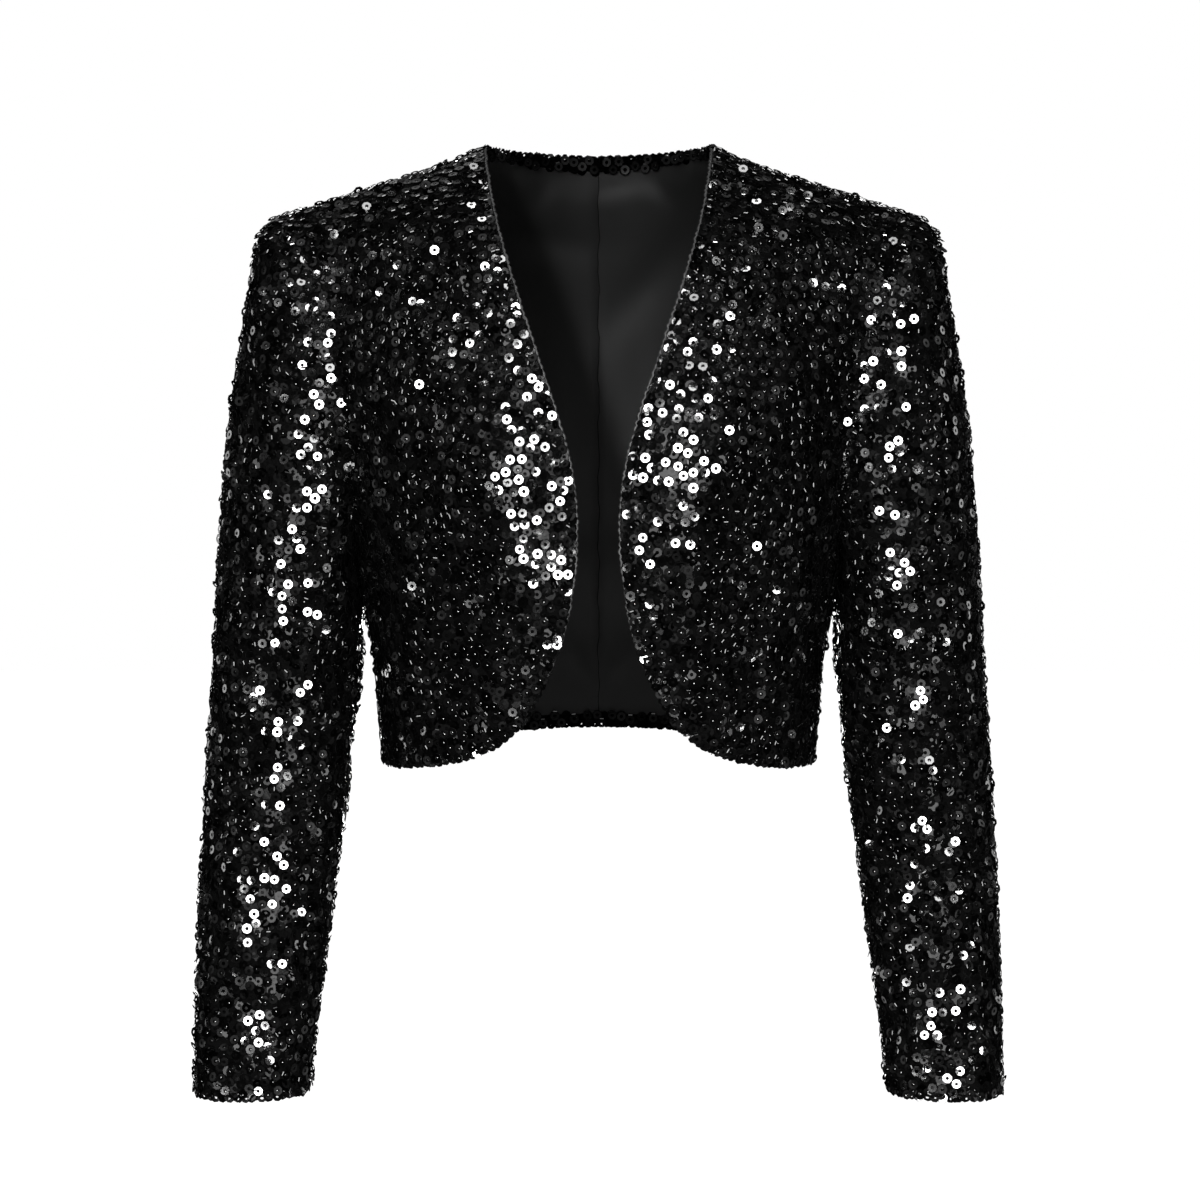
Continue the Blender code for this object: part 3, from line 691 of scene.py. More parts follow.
def spread(points):
    """Distance along the rows of a grid, as a mean over its columns."""
    return run_up(np.linalg.norm(np.diff(points, axis=0), axis=-1).mean(axis=1))


def lengths(line):
    """Distance along a line at each of its points."""
    return run_up(np.linalg.norm(np.diff(line, axis=0), axis=1))


def read_at(where, at, values):
    """Vectors given at distances along a line, read at other distances."""
    return np.stack([np.interp(where, at, values[:, i]) for i in range(3)], axis=1)


def finer_rows(points, steps, at, corner=None):
    """The grid with steps times as many rows, on smooth curves through its own rows.

    At a corner row the last columns turn sharply, so their curves end and start afresh there.
    """
    rows, columns = points.shape[:2]
    slopes = np.gradient(points.reshape(rows, -1), at, axis=0).reshape(points.shape)
    leaving, arriving = slopes.copy(), slopes.copy()
    if corner:
        share = (np.linspace(0, 1, columns) ** CORNER_FADE)[:, None]
        after = (points[corner + 1] - points[corner]) / (at[corner + 1] - at[corner])
        before = (points[corner] - points[corner - 1]) / (at[corner] - at[corner - 1])
        leaving[corner] += share * (after - leaving[corner])
        arriving[corner] += share * (before - arriving[corner])
    made = []
    for i in range(rows - 1):
        width = at[i + 1] - at[i]
        for t in np.arange(steps) / steps:
            made.append(hermite(points[i], points[i + 1], leaving[i] * width, arriving[i + 1] * width, t))
    made.append(points[-1])
    return np.array(made)


def finer(points, row_steps, column_steps, closed=False, corner=None):
    """A grid divided again both ways. Where closed, the columns run round a tube."""
    if corner and points.shape[1] > 2 * FRONT_COLUMNS:
        # The back has a corner at both its sides, so its halves are divided one by one
        middle = points.shape[1] // 2
        left = finer_rows(points[:, middle:], row_steps, spread(points), corner)
        right = finer_rows(points[:, middle::-1], row_steps, spread(points), corner)
        points = np.concatenate([right[:, :0:-1], left], axis=1)
    else:
        points = finer_rows(points, row_steps, spread(points), corner)
    turned = points.swapaxes(0, 1)
    if not closed:
        return finer_rows(turned, column_steps, spread(turned)).swapaxes(0, 1)
    count = len(turned)
    around_twice = np.concatenate([turned[-2:], turned, turned[:3]])
    made = finer_rows(around_twice, column_steps, spread(around_twice))
    return made[2 * column_steps : (2 + count) * column_steps].swapaxes(0, 1)


def mesh_from(name, points, faces, finishes=None):
    data = bpy.data.meshes.new(name)
    data.vertices.add(len(points))
    data.vertices.foreach_set("co", (points * MM).astype(np.float32).ravel())
    corners = faces.shape[1]
    data.loops.add(faces.size)
    data.loops.foreach_set("vertex_index", faces.ravel().astype(np.int32))
    data.polygons.add(len(faces))
    data.polygons.foreach_set("loop_start", np.arange(len(faces), dtype=np.int32) * corners)
    data.polygons.foreach_set("loop_total", np.full(len(faces), corners, np.int32))
    if finishes is not None:
        data.polygons.foreach_set("material_index", finishes.astype(np.int32))
    data.update()
    data.validate()
    return data


def wall(outer, inner, closed=False):
    """Points and faces of a closed wall between two grids, with 1 for each face of its inner side."""
    rows, columns = outer.shape[:2]
    index = np.arange(rows * columns).reshape(rows, columns)
    if closed:
        index = ringed(index)
    low, low_next = index[:-1, :-1].ravel(), index[:-1, 1:].ravel()
    high, high_next = index[1:, :-1].ravel(), index[1:, 1:].ravel()
    outside = np.stack([low, low_next, high_next, high], axis=1)
    shift = rows * columns
    inside = outside[:, ::-1] + shift
    rims = []
    edges = [index[0, ::-1], index[-1]]
    if not closed:
        edges += [index[:, 0], index[::-1, -1]]
    for edge in edges:
        rims.append(np.stack([edge[:-1], edge[1:], edge[1:] + shift, edge[:-1] + shift], axis=1))
    faces = np.concatenate([outside, inside, *rims])
    finishes = np.zeros(len(faces), int)
    finishes[len(outside) : 2 * len(outside)] = 1
    return np.concatenate([outer.reshape(-1, 3), inner.reshape(-1, 3)]), faces, finishes


def cloth(name, outer, inner, closed, finishes):
    """The wall of a panel. A second finish goes to its inner side."""
    points, faces, sides = wall(outer, inner, closed)
    data = mesh_from(name, points, faces, sides if len(finishes) > 1 else None)
    data.shade_smooth()
    data.set_sharp_from_angle(angle=np.radians(SHARP_ANGLE))
    return finished(name, data, finishes)


def finished(name, data, finishes):
    for finish in finishes:
        data.materials.append(finish)
    return put(name, data)


def put(name, data):
    obj = bpy.data.objects.new(name, data)
    bpy.context.scene.collection.objects.link(obj)
    return obj


def candidates(points, spacing, rng, closed=False):
    """Many random places on a grid, as dense everywhere, each with its normal."""
    normals = vertex_normals(points, closed)
    if closed:
        points, normals = ringed(points), ringed(normals)
    low, high = np.s_[:-1], np.s_[1:]
    cells = [(low, low), (low, high), (high, high), (high, low)]
    corners = np.stack([points[cell].reshape(-1, 3) for cell in cells], axis=1)
    corner_normals = np.stack([normals[cell].reshape(-1, 3) for cell in cells], axis=1)
    across = np.cross(corners[:, 2] - corners[:, 0], corners[:, 3] - corners[:, 1])
    area = np.linalg.norm(across, axis=1) / 2
    count = int(TRIES * area.sum() / spacing**2)
    which = rng.choice(len(area), count, p=area / area.sum())
    u, v = rng.random((2, count, 1))
    weights = ((1 - u) * (1 - v), u * (1 - v), u * v, (1 - u) * v)
    places = sum(w * corners[which, i] for i, w in enumerate(weights))
    outward = unit(sum(w * corner_normals[which, i] for i, w in enumerate(weights)))
    return places, outward


def clear(places, line):
    """Which places keep clear of an edge, given as points along it."""
    if line is None:
        return np.ones(len(places), bool)
    tree = KDTree(len(line))
    for n, point in enumerate(line):
        tree.insert(point, n)
    tree.balance()
    return np.array([tree.find(place)[2] > EDGE_CLEAR for place in places])


def apart(places, spacing):
    """Indices of places, taken in order, that lie at least the spacing from each one taken before."""
    cell = np.floor(places / spacing).astype(int)
    taken, kept = {}, []
    nearby = [(i, j, k) for i in (-1, 0, 1) for j in (-1, 0, 1) for k in (-1, 0, 1)]
    limit = spacing**2
    rows = places.tolist()
    for n, (i, j, k) in enumerate(cell.tolist()):
        x, y, z = rows[n]
        near = (place for di, dj, dk in nearby for place in taken.get((i + di, j + dj, k + dk), ()))
        if all((ox - x) ** 2 + (oy - y) ** 2 + (oz - z) ** 2 >= limit for ox, oy, oz in near):
            taken.setdefault((i, j, k), []).append((x, y, z))
            kept.append(n)
    return np.array(kept)


def undulated(places, normals, steepness, rng):
    """Normals turned as small random waves of the cloth turn them, alike where they are near each other."""
    direction = unit(rng.normal(size=(WAVE_COUNT, 3)))
    length = rng.uniform(*WAVE_LENGTHS, WAVE_COUNT)
    phase = rng.uniform(0, 2 * np.pi, WAVE_COUNT)
    slope = np.cos(places @ (direction * (2 * np.pi / length)[:, None]).T + phase)
    turned = slope @ direction * steepness * np.sqrt(6 / WAVE_COUNT)
    turned -= normals * np.sum(turned * normals, axis=1, keepdims=True)
    return unit(normals + turned)


def crowned(places, normals):
    """Normals turned up near the shoulder line and beside the neck, with how far, from 0 to 1."""
    x = np.abs(places[:, 0])
    below = NECK_TOP - SHOULDER_FALL * np.maximum(x - NECK_HALF, 0) - places[:, 2]
    share = rising(CROWN_REACH * (1 - below / np.interp(x, CROWN_AT, CROWN_DEEP)))
    level = unit(normals * [1, 1, 0] + [0, 1e-6, 0])
    turned = level * np.cos(np.radians(CROWN_ELEVATION)) + [0, 0, np.sin(np.radians(CROWN_ELEVATION))]
    return unit(normals + (turned - normals) * share[:, None]), share


def square_to(normals):
    """Two directions square to each normal and to each other."""
    helper = np.where(np.abs(normals[:, 2:]) < UPRIGHT, [[0, 0, 1.0]], [[1.0, 0, 0]])
    side = unit(np.cross(helper, normals))
    return side, np.cross(normals, side)


def circles_round(normals, sides, rng):
    """A circle of unit vectors square to each normal, each circle turned at random."""
    side, up = square_to(normals)
    turn = rng.random((len(normals), 1)) * 2 * np.pi + np.linspace(0, 2 * np.pi, sides, endpoint=False)
    return np.cos(turn)[..., None] * side[:, None] + np.sin(turn)[..., None] * up[:, None]


def tilted(normals, rng, lean):
    """Normals turned at random by a small angle, and a share of them by a wider one."""
    side, up = square_to(normals)
    reach = np.where(rng.random((len(normals), 1)) < lean.wide_share, lean.wide, lean.small)
    angle = np.radians(np.clip(rng.normal(size=(len(normals), 2)) * reach, -MOST_LEAN, MOST_LEAN))
    return unit(normals + side * np.tan(angle[:, :1]) + up * np.tan(angle[:, 1:]))


def seated(places, normals, facing, lift):
    """Centres lifted off the cloth, and a sequin that leans far lifted more, so that it stays in the wall."""
    sunk = SEQUIN_RADIUS * np.sqrt(1 - np.clip(np.sum(facing * normals, axis=1, keepdims=True), -1, 1) ** 2)
    return places + normals * np.maximum(lift, sunk - MOST_SUNK)


def sequins(name, centres, normals, finishes, rng, dull_lips=None):
    """Rings with a hole and a lip that turns down, whose lips are all dull unless dull_lips says which."""
    rims = ((SEQUIN_RADIUS, CUP_RISE - LIP_DROP), (RING_RADIUS, CUP_RISE), (HOLE_RADIUS, 0.0))
    return discs(name, centres, normals, rims, finishes, rng, dull_lips)


def flat_rings(name, centres, normals, finish, rng, _):
    """Flat rings without a lip, for sequins that lie mostly under others."""
    return discs(name, centres, normals, ((RING_RADIUS, 0.0), (HOLE_RADIUS, 0.0)), (finish,), rng)


def plain_discs(name, centres, normals, finish, rng):
    """Plain eight-sided discs, which fill the gaps between the sequins over them."""
    return discs(name, centres, normals, ((SEQUIN_RADIUS, 0.0),), (finish,), rng)


def discs(name, centres, normals, rims, finishes, rng, dull_lips=None):
    """Discs or rings in one mesh, each rim given by its radius and rise. A second finish goes to the lips."""
    count = len(centres)
    ring = circles_round(normals, SEQUIN_SIDES, rng)
    size = 1 + SIZE_SPREAD * rng.normal(size=(count, 1, 1))
    circles = [centres[:, None] + ring * radius * size + normals[:, None] * rise for radius, rise in rims]
    points = np.concatenate(circles, axis=1).reshape(-1, 3)
    k = np.arange(SEQUIN_SIDES)
    n = (k + 1) % SEQUIN_SIDES
    band = np.stack([k, n, n + SEQUIN_SIDES, k + SEQUIN_SIDES], axis=1)
    bands = [band + step * SEQUIN_SIDES for step in range(len(rims) - 1)]
    faces = np.concatenate(bands) if bands else k[None]
    shift = np.arange(count)[:, None, None] * SEQUIN_SIDES * len(rims)
    lip = None
    if len(finishes) > 1:
        dull = np.ones(count, bool) if dull_lips is None else dull_lips
        lip = (dull[:, None] & (np.arange(len(faces)) < SEQUIN_SIDES)).ravel()
    faces = (faces[None] + shift).reshape(-1, faces.shape[1])
    data = mesh_from(name, points, faces, lip)
    data.shade_flat()
    return finished(name, data, finishes)


def beads(name, centres, normals, finish, rng):
    """Small domed beads, one at each centre, joined in one mesh."""
    count = len(centres)
    ring = circles_round(normals, BEAD_SIDES, rng)
    low = centres[:, None] - normals[:, None] * BEAD_DROP
    height = BEAD_HEIGHT * rng.uniform(1 - BEAD_SPREAD, 1 + BEAD_SPREAD, (count, 1, 1))
    top = low + normals[:, None] * height
    points = np.concatenate([low + ring * BEAD_RADIUS, top], axis=1).reshape(-1, 3)
    k = np.arange(BEAD_SIDES)
    faces = np.stack([k, (k + 1) % BEAD_SIDES, np.full(BEAD_SIDES, BEAD_SIDES)], axis=1)
    shift = np.arange(count)[:, None, None] * (BEAD_SIDES + 1)
    data = mesh_from(name, points, (faces[None] + shift).reshape(-1, 3))
    data.shade_smooth()
    return finished(name, data, (finish,))


def edge_roll(name, edges, finish, rng):
    """A thin rolled edge beside each rim line, scalloped a little where the sequins press on it."""
    parts, cells, total = [], [], 0
    for line, outward, normals in edges:
        at = lengths(line)
        where = np.linspace(0, at[-1], int(at[-1] / ROLL_STEP) + 1)
        place, out, normal = (read_at(where, at, values) for values in (line, outward, normals))
        out, normal = unit(out), unit(normal)
        knots = np.arange(0, at[-1] + SCALLOP_PITCH, SCALLOP_PITCH)
        shifts = rng.uniform(-SCALLOP_JITTER, SCALLOP_JITTER, len(knots))
        phase = np.interp(where, knots, np.arange(len(knots)) + shifts)
        height = np.interp(where, knots, rng.uniform(SCALLOP_LEAST, 1.0, len(knots)))
        bulge = (SCALLOP * height * np.abs(np.sin(np.pi * phase)))[:, None]
        middle = place + out * (ROLL_OUT + bulge) - normal * ROLL_IN
        turn = np.linspace(0, 2 * np.pi, ROLL_SIDES, endpoint=False)[None, :, None]
        ring = np.cos(turn) * out[:, None] + np.sin(turn) * normal[:, None]
        parts.append((middle[:, None] + ring * ROLL_RADIUS).reshape(-1, 3))
        index = np.arange(len(where) * ROLL_SIDES).reshape(-1, ROLL_SIDES) + total
        total += index.size
        after = np.roll(index, -1, axis=1)
        cells.append(np.stack([index[:-1], after[:-1], after[1:], index[1:]], axis=-1).reshape(-1, 4))
    data = mesh_from(name, np.concatenate(parts), np.concatenate(cells))
    data.shade_smooth()
    return finished(name, data, (finish,))


def panel_sequins(name, points, finishes, seed, kind, closed=False, rim=None):
    """Sequins over a panel, and beads at their holes.

    Plain discs lie lowest. Over them come rings that overlap, and over those the rings that show whole.
    The discs and the overlapping rings wear the low finish, whose darker look is painted shade.
    """
    # low is the darker copy of the sequin finish, with painted shade, for the under discs and the overlapping
    # rings
    finish, lip, low, bead = finishes
    rng = np.random.default_rng(seed)
    waves = np.random.default_rng(seed + WAVE_SEED)
    lean = LEANS[kind]
    places, normals = candidates(points, UNDER_SPACING, rng, closed)
    keep = apart(places, UNDER_SPACING)
    keep = keep[clear(places[keep], rim)]
    places, normals = places[keep], normals[keep]
    under_lean = Lean(UNDER_TILT, UNDER_TILT, 0)
    facing = tilted(normals, rng, under_lean)
    centres = seated(places, normals, facing, rng.uniform(*UNDER_LIFT, (len(places), 1)))
    made = [plain_discs(f"{name}_under_sequins", centres, facing, low, rng)]

    places, normals = candidates(points, RING_SPACING, rng, closed)
    kept = clear(places, rim)
    places, normals = places[kept], normals[kept]
    tops = apart(places, TOP_SPACING)
    others = np.setdiff1d(np.arange(len(places)), tops)
    order = np.concatenate([tops, others])
    rest = order[apart(places[order], RING_SPACING)[len(tops) :]]
    leaning = undulated(places, normals, STEEPNESS[kind], waves)
    crown = np.zeros(len(places))
    if kind == "edge":
        leaning = unit(leaning + TURNED_FORWARD)
    else:
        leaning, crown = crowned(places, leaning)
    layers = (
        (rest, RING_LIFT, flat_rings, "rings", low, BEAD_SHARE),
        (tops, TOP_LIFT, sequins, "sequins", (finish, lip), 1),
    )
    holes, facings = [], []
    for part, lift, build, label, look, share in layers:
        facing = tilted(leaning[part], rng, lean)
        centres = seated(places[part], normals[part], facing, rng.uniform(*lift, (len(part), 1)))
        made.append(build(f"{name}_{label}", centres, facing, look, rng, crown[part] < CROWN_GLOSS))
        held = (rng.random(len(part)) < share) & (np.abs(facing[:, 1]) < BEAD_FACING)
        holes.append(centres[held])
        facings.append(facing[held])
    made.append(beads(f"{name}_beads", np.concatenate(holes), np.concatenate(facings), bead, rng))
    return made


def finely(line):
    """The line with points about a millimetre apart."""
    at = lengths(line)
    return read_at(np.linspace(0, at[-1], int(at[-1]) + 1), at, line)


def edge_places(line, outward, normals, rng):
    """Places along an edge at even steps, with the outward line and the panel's normal at each."""
    at = lengths(line)
    count = int(at[-1] / EDGE_SPACING)
    where = (np.arange(count) + 0.5 + rng.uniform(-EDGE_JITTER, EDGE_JITTER, count)) * at[-1] / count
    place, out, normal = (read_at(where, at, values) for values in (line, outward, normals))
    return place, unit(out), unit(normal)


def edge_sequins(name, lines, finishes, seed, lean):
    """Sequins along the free edges of a panel, in the rows that each of its lines names."""
    rng = np.random.default_rng(seed)
    centres, facings = [], []
    for line, outward, normals, rows in lines:
        for row in rows:
            place, out, normal = edge_places(line, outward, normals, rng)
            turn = np.radians(rng.uniform(row.least, row.most, (len(place), 1)))
            facing = unit(out * np.cos(turn) + normal * np.sin(turn))
            lift = facing * rng.uniform(row.near, row.far, (len(place), 1))
            lift += normal * (WALL / 2) * np.sin(turn)
            centres.append(place + lift - out * row.back)
            facings.append(tilted(facing, rng, lean))
    return sequins(name, np.concatenate(centres), np.concatenate(facings), finishes, rng)


def free_edge(outer, inner, side):
    """The middle line of a wall's rim, the direction out of the panel there, and the panel's normal."""
    edge, neighbour = SIDES[side]
    line = (outer[edge] + inner[edge]) / 2
    away = unit(outer[edge] - outer[neighbour])
    return line, away, unit(outer[edge] - inner[edge])


def shader_and_tree(name, specular=0.5, ior=1.5):
    made = bpy.data.materials.new(name)
    made.use_nodes = True
    shader = made.node_tree.nodes["Principled BSDF"]
    shader.inputs["Specular IOR Level"].default_value = specular
    shader.inputs["IOR"].default_value = ior
    return made, made.node_tree, shader


def coordinates(tree):
    """The object's own coordinates, in metres."""
    return tree.nodes.new("ShaderNodeTexCoord").outputs["Object"]


def noise(tree, scale, detail):
    made = tree.nodes.new("ShaderNodeTexNoise")
    made.inputs["Scale"].default_value = scale
    made.inputs["Detail"].default_value = detail
    tree.links.new(coordinates(tree), made.inputs["Vector"])
    return made.outputs[0]


def between(tree, value, low, high):
    """The value, from 0 to 1, moved to run from low to high."""
    made = tree.nodes.new("ShaderNodeMapRange")
    made.inputs["To Min"].default_value = low
    made.inputs["To Max"].default_value = high
    tree.links.new(value, made.inputs["Value"])
    return made.outputs[0]


def ramp(tree, value, stops):
    made = tree.nodes.new("ShaderNodeValToRGB")
    elements = made.color_ramp.elements
    for _ in stops[2:]:
        elements.new(0.5)
    for element, (place, colour) in zip(elements, stops):
        element.position = place
        element.color = (colour, colour, colour, 1)
    tree.links.new(value, made.inputs["Fac"])
    return made.outputs["Color"]


def bumped(tree, shader, height, strength, distance):
    made = tree.nodes.new("ShaderNodeBump")
    made.inputs["Strength"].default_value = strength
    made.inputs["Distance"].default_value = distance
    tree.links.new(height, made.inputs["Height"])
    tree.links.new(made.outputs[0], shader.inputs["Normal"])


def shiny(name, specular, ior, gloss, colour):
    """Black plastic that differs a little in roughness and colour from one sequin or bead to the next."""
    made, tree, shader = shader_and_tree(name, specular, ior)
    each = tree.nodes.new("ShaderNodeNewGeometry").outputs["Random Per Island"]
    tree.links.new(ramp(tree, each, gloss), shader.inputs["Roughness"])
    tree.links.new(ramp(tree, each, colour), shader.inputs["Base Color"])
    return made, tree, shader


def sequin_look(name, specular, gloss, colour):
    made, tree, shader = shiny(name, specular, SEQUIN_IOR, gloss, colour)
    bumped(tree, shader, noise(tree, 420, 1), 0.05, 0.0004)
    return made


def sequin_finish():
    gloss = ((0, 0.05), (0.84, 0.09), (0.95, 0.2), (1, 0.32))
    return sequin_look("sequin_black", 0.5, gloss, ((0, 0.0001), (0.6, 0.0002), (1, 0.0006)))


def lip_finish():
    return sequin_look("sequin_black_lip", 0.08, ((0, 0.05), (1, 0.14)), ((0, 0.0002), (1, 0.001)))


# The lower layers' copy of the sequin finish, darkened by a far weaker specular level: painted shade,
# standing in for the shade that the sequins over them cast
def low_painted_shade_finish():
    return sequin_look("sequin_black_low_painted_shade", 0.02, ((0, 0.12), (1, 0.35)), ((0, 0.00005), (1, 0.0008)))


def turned_finish():
    return sequin_look("sequin_black_turned_in", 0.25, ((0, 0.15), (1, 0.4)), ((0, 0.001), (1, 0.003)))


def bead_finish():
    return shiny("bead_black", 0.5, 1.5, ((0, 0.08), (1, 0.24)), ((0, 0.0002), (1, 0.0008)))[0]


def base_finish():
    made, tree, shader = shader_and_tree("base_knit", 0.02)
    tree.links.new(between(tree, noise(tree, 300, 2), 0.8, 1.0), shader.inputs["Roughness"])
    colour = ramp(tree, noise(tree, 700, 2), ((0.35, 0.0001), (0.65, 0.0003)))
    tree.links.new(colour, shader.inputs["Base Color"])
    loops = tree.nodes.new("ShaderNodeTexVoronoi")
    loops.inputs["Scale"].default_value = 900
    tree.links.new(coordinates(tree), loops.inputs["Vector"])
    bumped(tree, shader, loops.outputs["Distance"], 0.5, 0.0006)
    return made


def satin_finish():
    made, tree, shader = shader_and_tree("satin_black", 0.45)
    shader.inputs["Sheen Weight"].default_value = 0.04
    shader.inputs["Sheen Roughness"].default_value = 0.4
    colour = ramp(tree, noise(tree, 40, 3), ((0.3, 0.0062), (0.7, 0.0078)))
    tree.links.new(colour, shader.inputs["Base Color"])
    tree.links.new(between(tree, noise(tree, 90, 3), 0.48, 0.58), shader.inputs["Roughness"])
    threads = tree.nodes.new("ShaderNodeTexWave")
    threads.bands_direction = "Z"
    threads.inputs["Scale"].default_value = 600
    threads.inputs["Distortion"].default_value = 1.5
    tree.links.new(coordinates(tree), threads.inputs["Vector"])
    bumped(tree, shader, threads.outputs[0], 0.06, 0.0002)
    return made


def edge_finish():
    made, tree, shader = shader_and_tree("edge_binding", 0.2)
    colour = ramp(tree, noise(tree, 260, 2), ((0.3, 0.003), (0.7, 0.007)))
    tree.links.new(colour, shader.inputs["Base Color"])
    tree.links.new(between(tree, noise(tree, 180, 2), 0.5, 0.65), shader.inputs["Roughness"])
    bumped(tree, shader, noise(tree, 800, 1), 0.3, 0.0003)
    return made


def sewn(shell, node, going=()):
    """The shell in place of its solid, as a sheet with the pieces that go with it."""
    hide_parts(node)
    for piece in (shell, *going):
        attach(piece, "root")


def under_neck(column_steps):
    """The columns of the back's finer grid that lie under the neckline."""
    return slice(NECK.start * column_steps, (NECK.stop - 1) * column_steps + 1)


def dress():
    # The third sequin finish is a darker copy for the lower layers, with painted shade
    sequin = (sequin_finish(), lip_finish(), low_painted_shade_finish(), bead_finish())
    finishes = (sequin, base_finish(), satin_finish(), edge_finish())
    grids = body_grids()
    back, back_lines = grids["back"]
    dress_back(back, back_lines, finishes)
    for number, side in enumerate(("left", "right")):
        front, front_lines, sleeve, sleeve_lines = grids[side]
        front = finer(front, ROW_STEPS, COLUMN_STEPS, corner=LOW_ROWS)
        front_lines = finer(front_lines, ROW_STEPS, COLUMN_STEPS)
        sleeve = finer(sleeve, RING_STEPS, TURN_STEPS, closed=True)
        sleeve_lines = finer(sleeve_lines, RING_STEPS, TURN_STEPS, closed=True)
        front = trimmed(front, front_lines, ("top", "end"), SEAM_GAP)
        sleeve = trimmed(sleeve, sleeve_lines, ("bottom",), SEAM_GAP)
        seed = 10 + 10 * number
        dress_front(side, front, front + front_lines * WALL, finishes, seed)
        dress_sleeve(side, sleeve, sleeve + sleeve_lines * WALL, finishes, seed + 5)
    line_back(back, back_lines, (turned_finish(), *sequin[1:]), finishes)


def dress_back(back, back_lines, finishes):
    sequin, base, _, _ = finishes
    fine = finer(back, ROW_STEPS, COLUMN_STEPS, corner=LOW_ROWS)
    lines = finer(back_lines, ROW_STEPS, COLUMN_STEPS)
    neck = under_neck(COLUMN_STEPS)
    outer = trimmed(fine, lines, ("top", "start", "end"), SEAM_GAP)
    outer[-1, neck] = fine[-1, neck]
    inner = outer + lines * WALL
    shell = cloth("back_cloth", outer, inner, False, (base, base))
    going = panel_sequins("back", outer[:, ::-1], sequin, 1, "back")
    bottom, top = free_edge(outer, inner, "bottom"), free_edge(outer, inner, "top")
    rims = [(*bottom, EDGE_ROWS), (*(part[neck] for part in top), EDGE_ROWS)]
    going.append(edge_sequins("back_edge_sequins", rims, sequin[:2], 2, LEANS["back"]))
    sewn(shell, "back", going)


def dress_front(side, outer, inner, finishes, seed):
    sequin, base, satin, binding = finishes
    node, front_side = f"front_{side}", "start"
    if side == "right":
        outer, inner, front_side = mirrored(outer), mirrored(inner), "end"
    shell = cloth(f"{node}_cloth", outer, inner, False, (base, satin))
    hem, edge = free_edge(outer, inner, "bottom"), free_edge(outer, inner, front_side)
    going = panel_sequins(node, outer, sequin, seed, "front", rim=finely(edge[0]))
    rims = [(*hem, EDGE_ROWS), (*edge, ROLLED_EDGE_ROWS)]
    going.append(edge_sequins(f"{node}_edge_sequins", rims, sequin[:2], seed + 1, LEANS["front"]))
    going.append(edge_roll(f"{node}_rolled_edge", (hem, edge), binding, np.random.default_rng(seed + 2)))
    sewn(shell, node, going)


def dress_sleeve(side, outer, inner, finishes, seed):
    sequin, base, satin, _ = finishes
    node = f"sleeve_{side}"
    if side == "right":
        outer, inner = (np.roll(mirrored(skin), 1, axis=1) for skin in (outer, inner))
    shell = cloth(f"{node}_cloth", outer, inner, True, (base, satin))
    going = panel_sequins(node, outer, sequin, seed, "sleeve", closed=True)
    cuff = [np.concatenate([part, part[:1]]) for part in free_edge(outer, inner, "top")]
    rims = [(*cuff, EDGE_ROWS)]
    going.append(edge_sequins(f"{node}_edge_sequins", rims, sequin[:2], seed + 1, LEANS["sleeve"]))
    sewn(shell, node, going)


def to_nearer_end(grid, axis):
    """How far each place of a grid lies from the nearer end of its column, axis 0, or row, axis 1."""
    step = np.linalg.norm(np.diff(grid, axis=axis), axis=-1)
    along = np.insert(np.cumsum(step, axis=axis), 0, 0, axis=axis)
    return np.minimum(along, along.take([-1], axis=axis) - along)


def eased(lining, toward_wearer):
    """The lining moved off the back by its soft rise and folds, and drawn in at the centre seam."""
    x, z = lining[..., 0], lining[..., 2]
    from_ends, from_sides = to_nearer_end(lining, 0), to_nearer_end(lining, 1)
    held = rising(from_ends / RISE_WIDTH) * rising(from_sides / RISE_WIDTH)
    held = held * (1 - SEAM_DIP * (1 - rising(np.abs(x) / SEAM_WIDTH)))
    depth = sum(fold.depth * near_line(x, z, fold) for fold in LINING_FOLDS)
    moved = lining + toward_wearer * (held * np.maximum(LINING_RISE - depth, LEAST_RISE))[..., None]
    aside = sum(wave.size * np.sin(2 * np.pi * z / wave.length + wave.start) for wave in SEAM_WAVES)
    moved[..., 0] += aside * np.exp(-((x / SEAM_WIDTH) ** 2)) * rising(from_ends / RISE_WIDTH)
    return moved


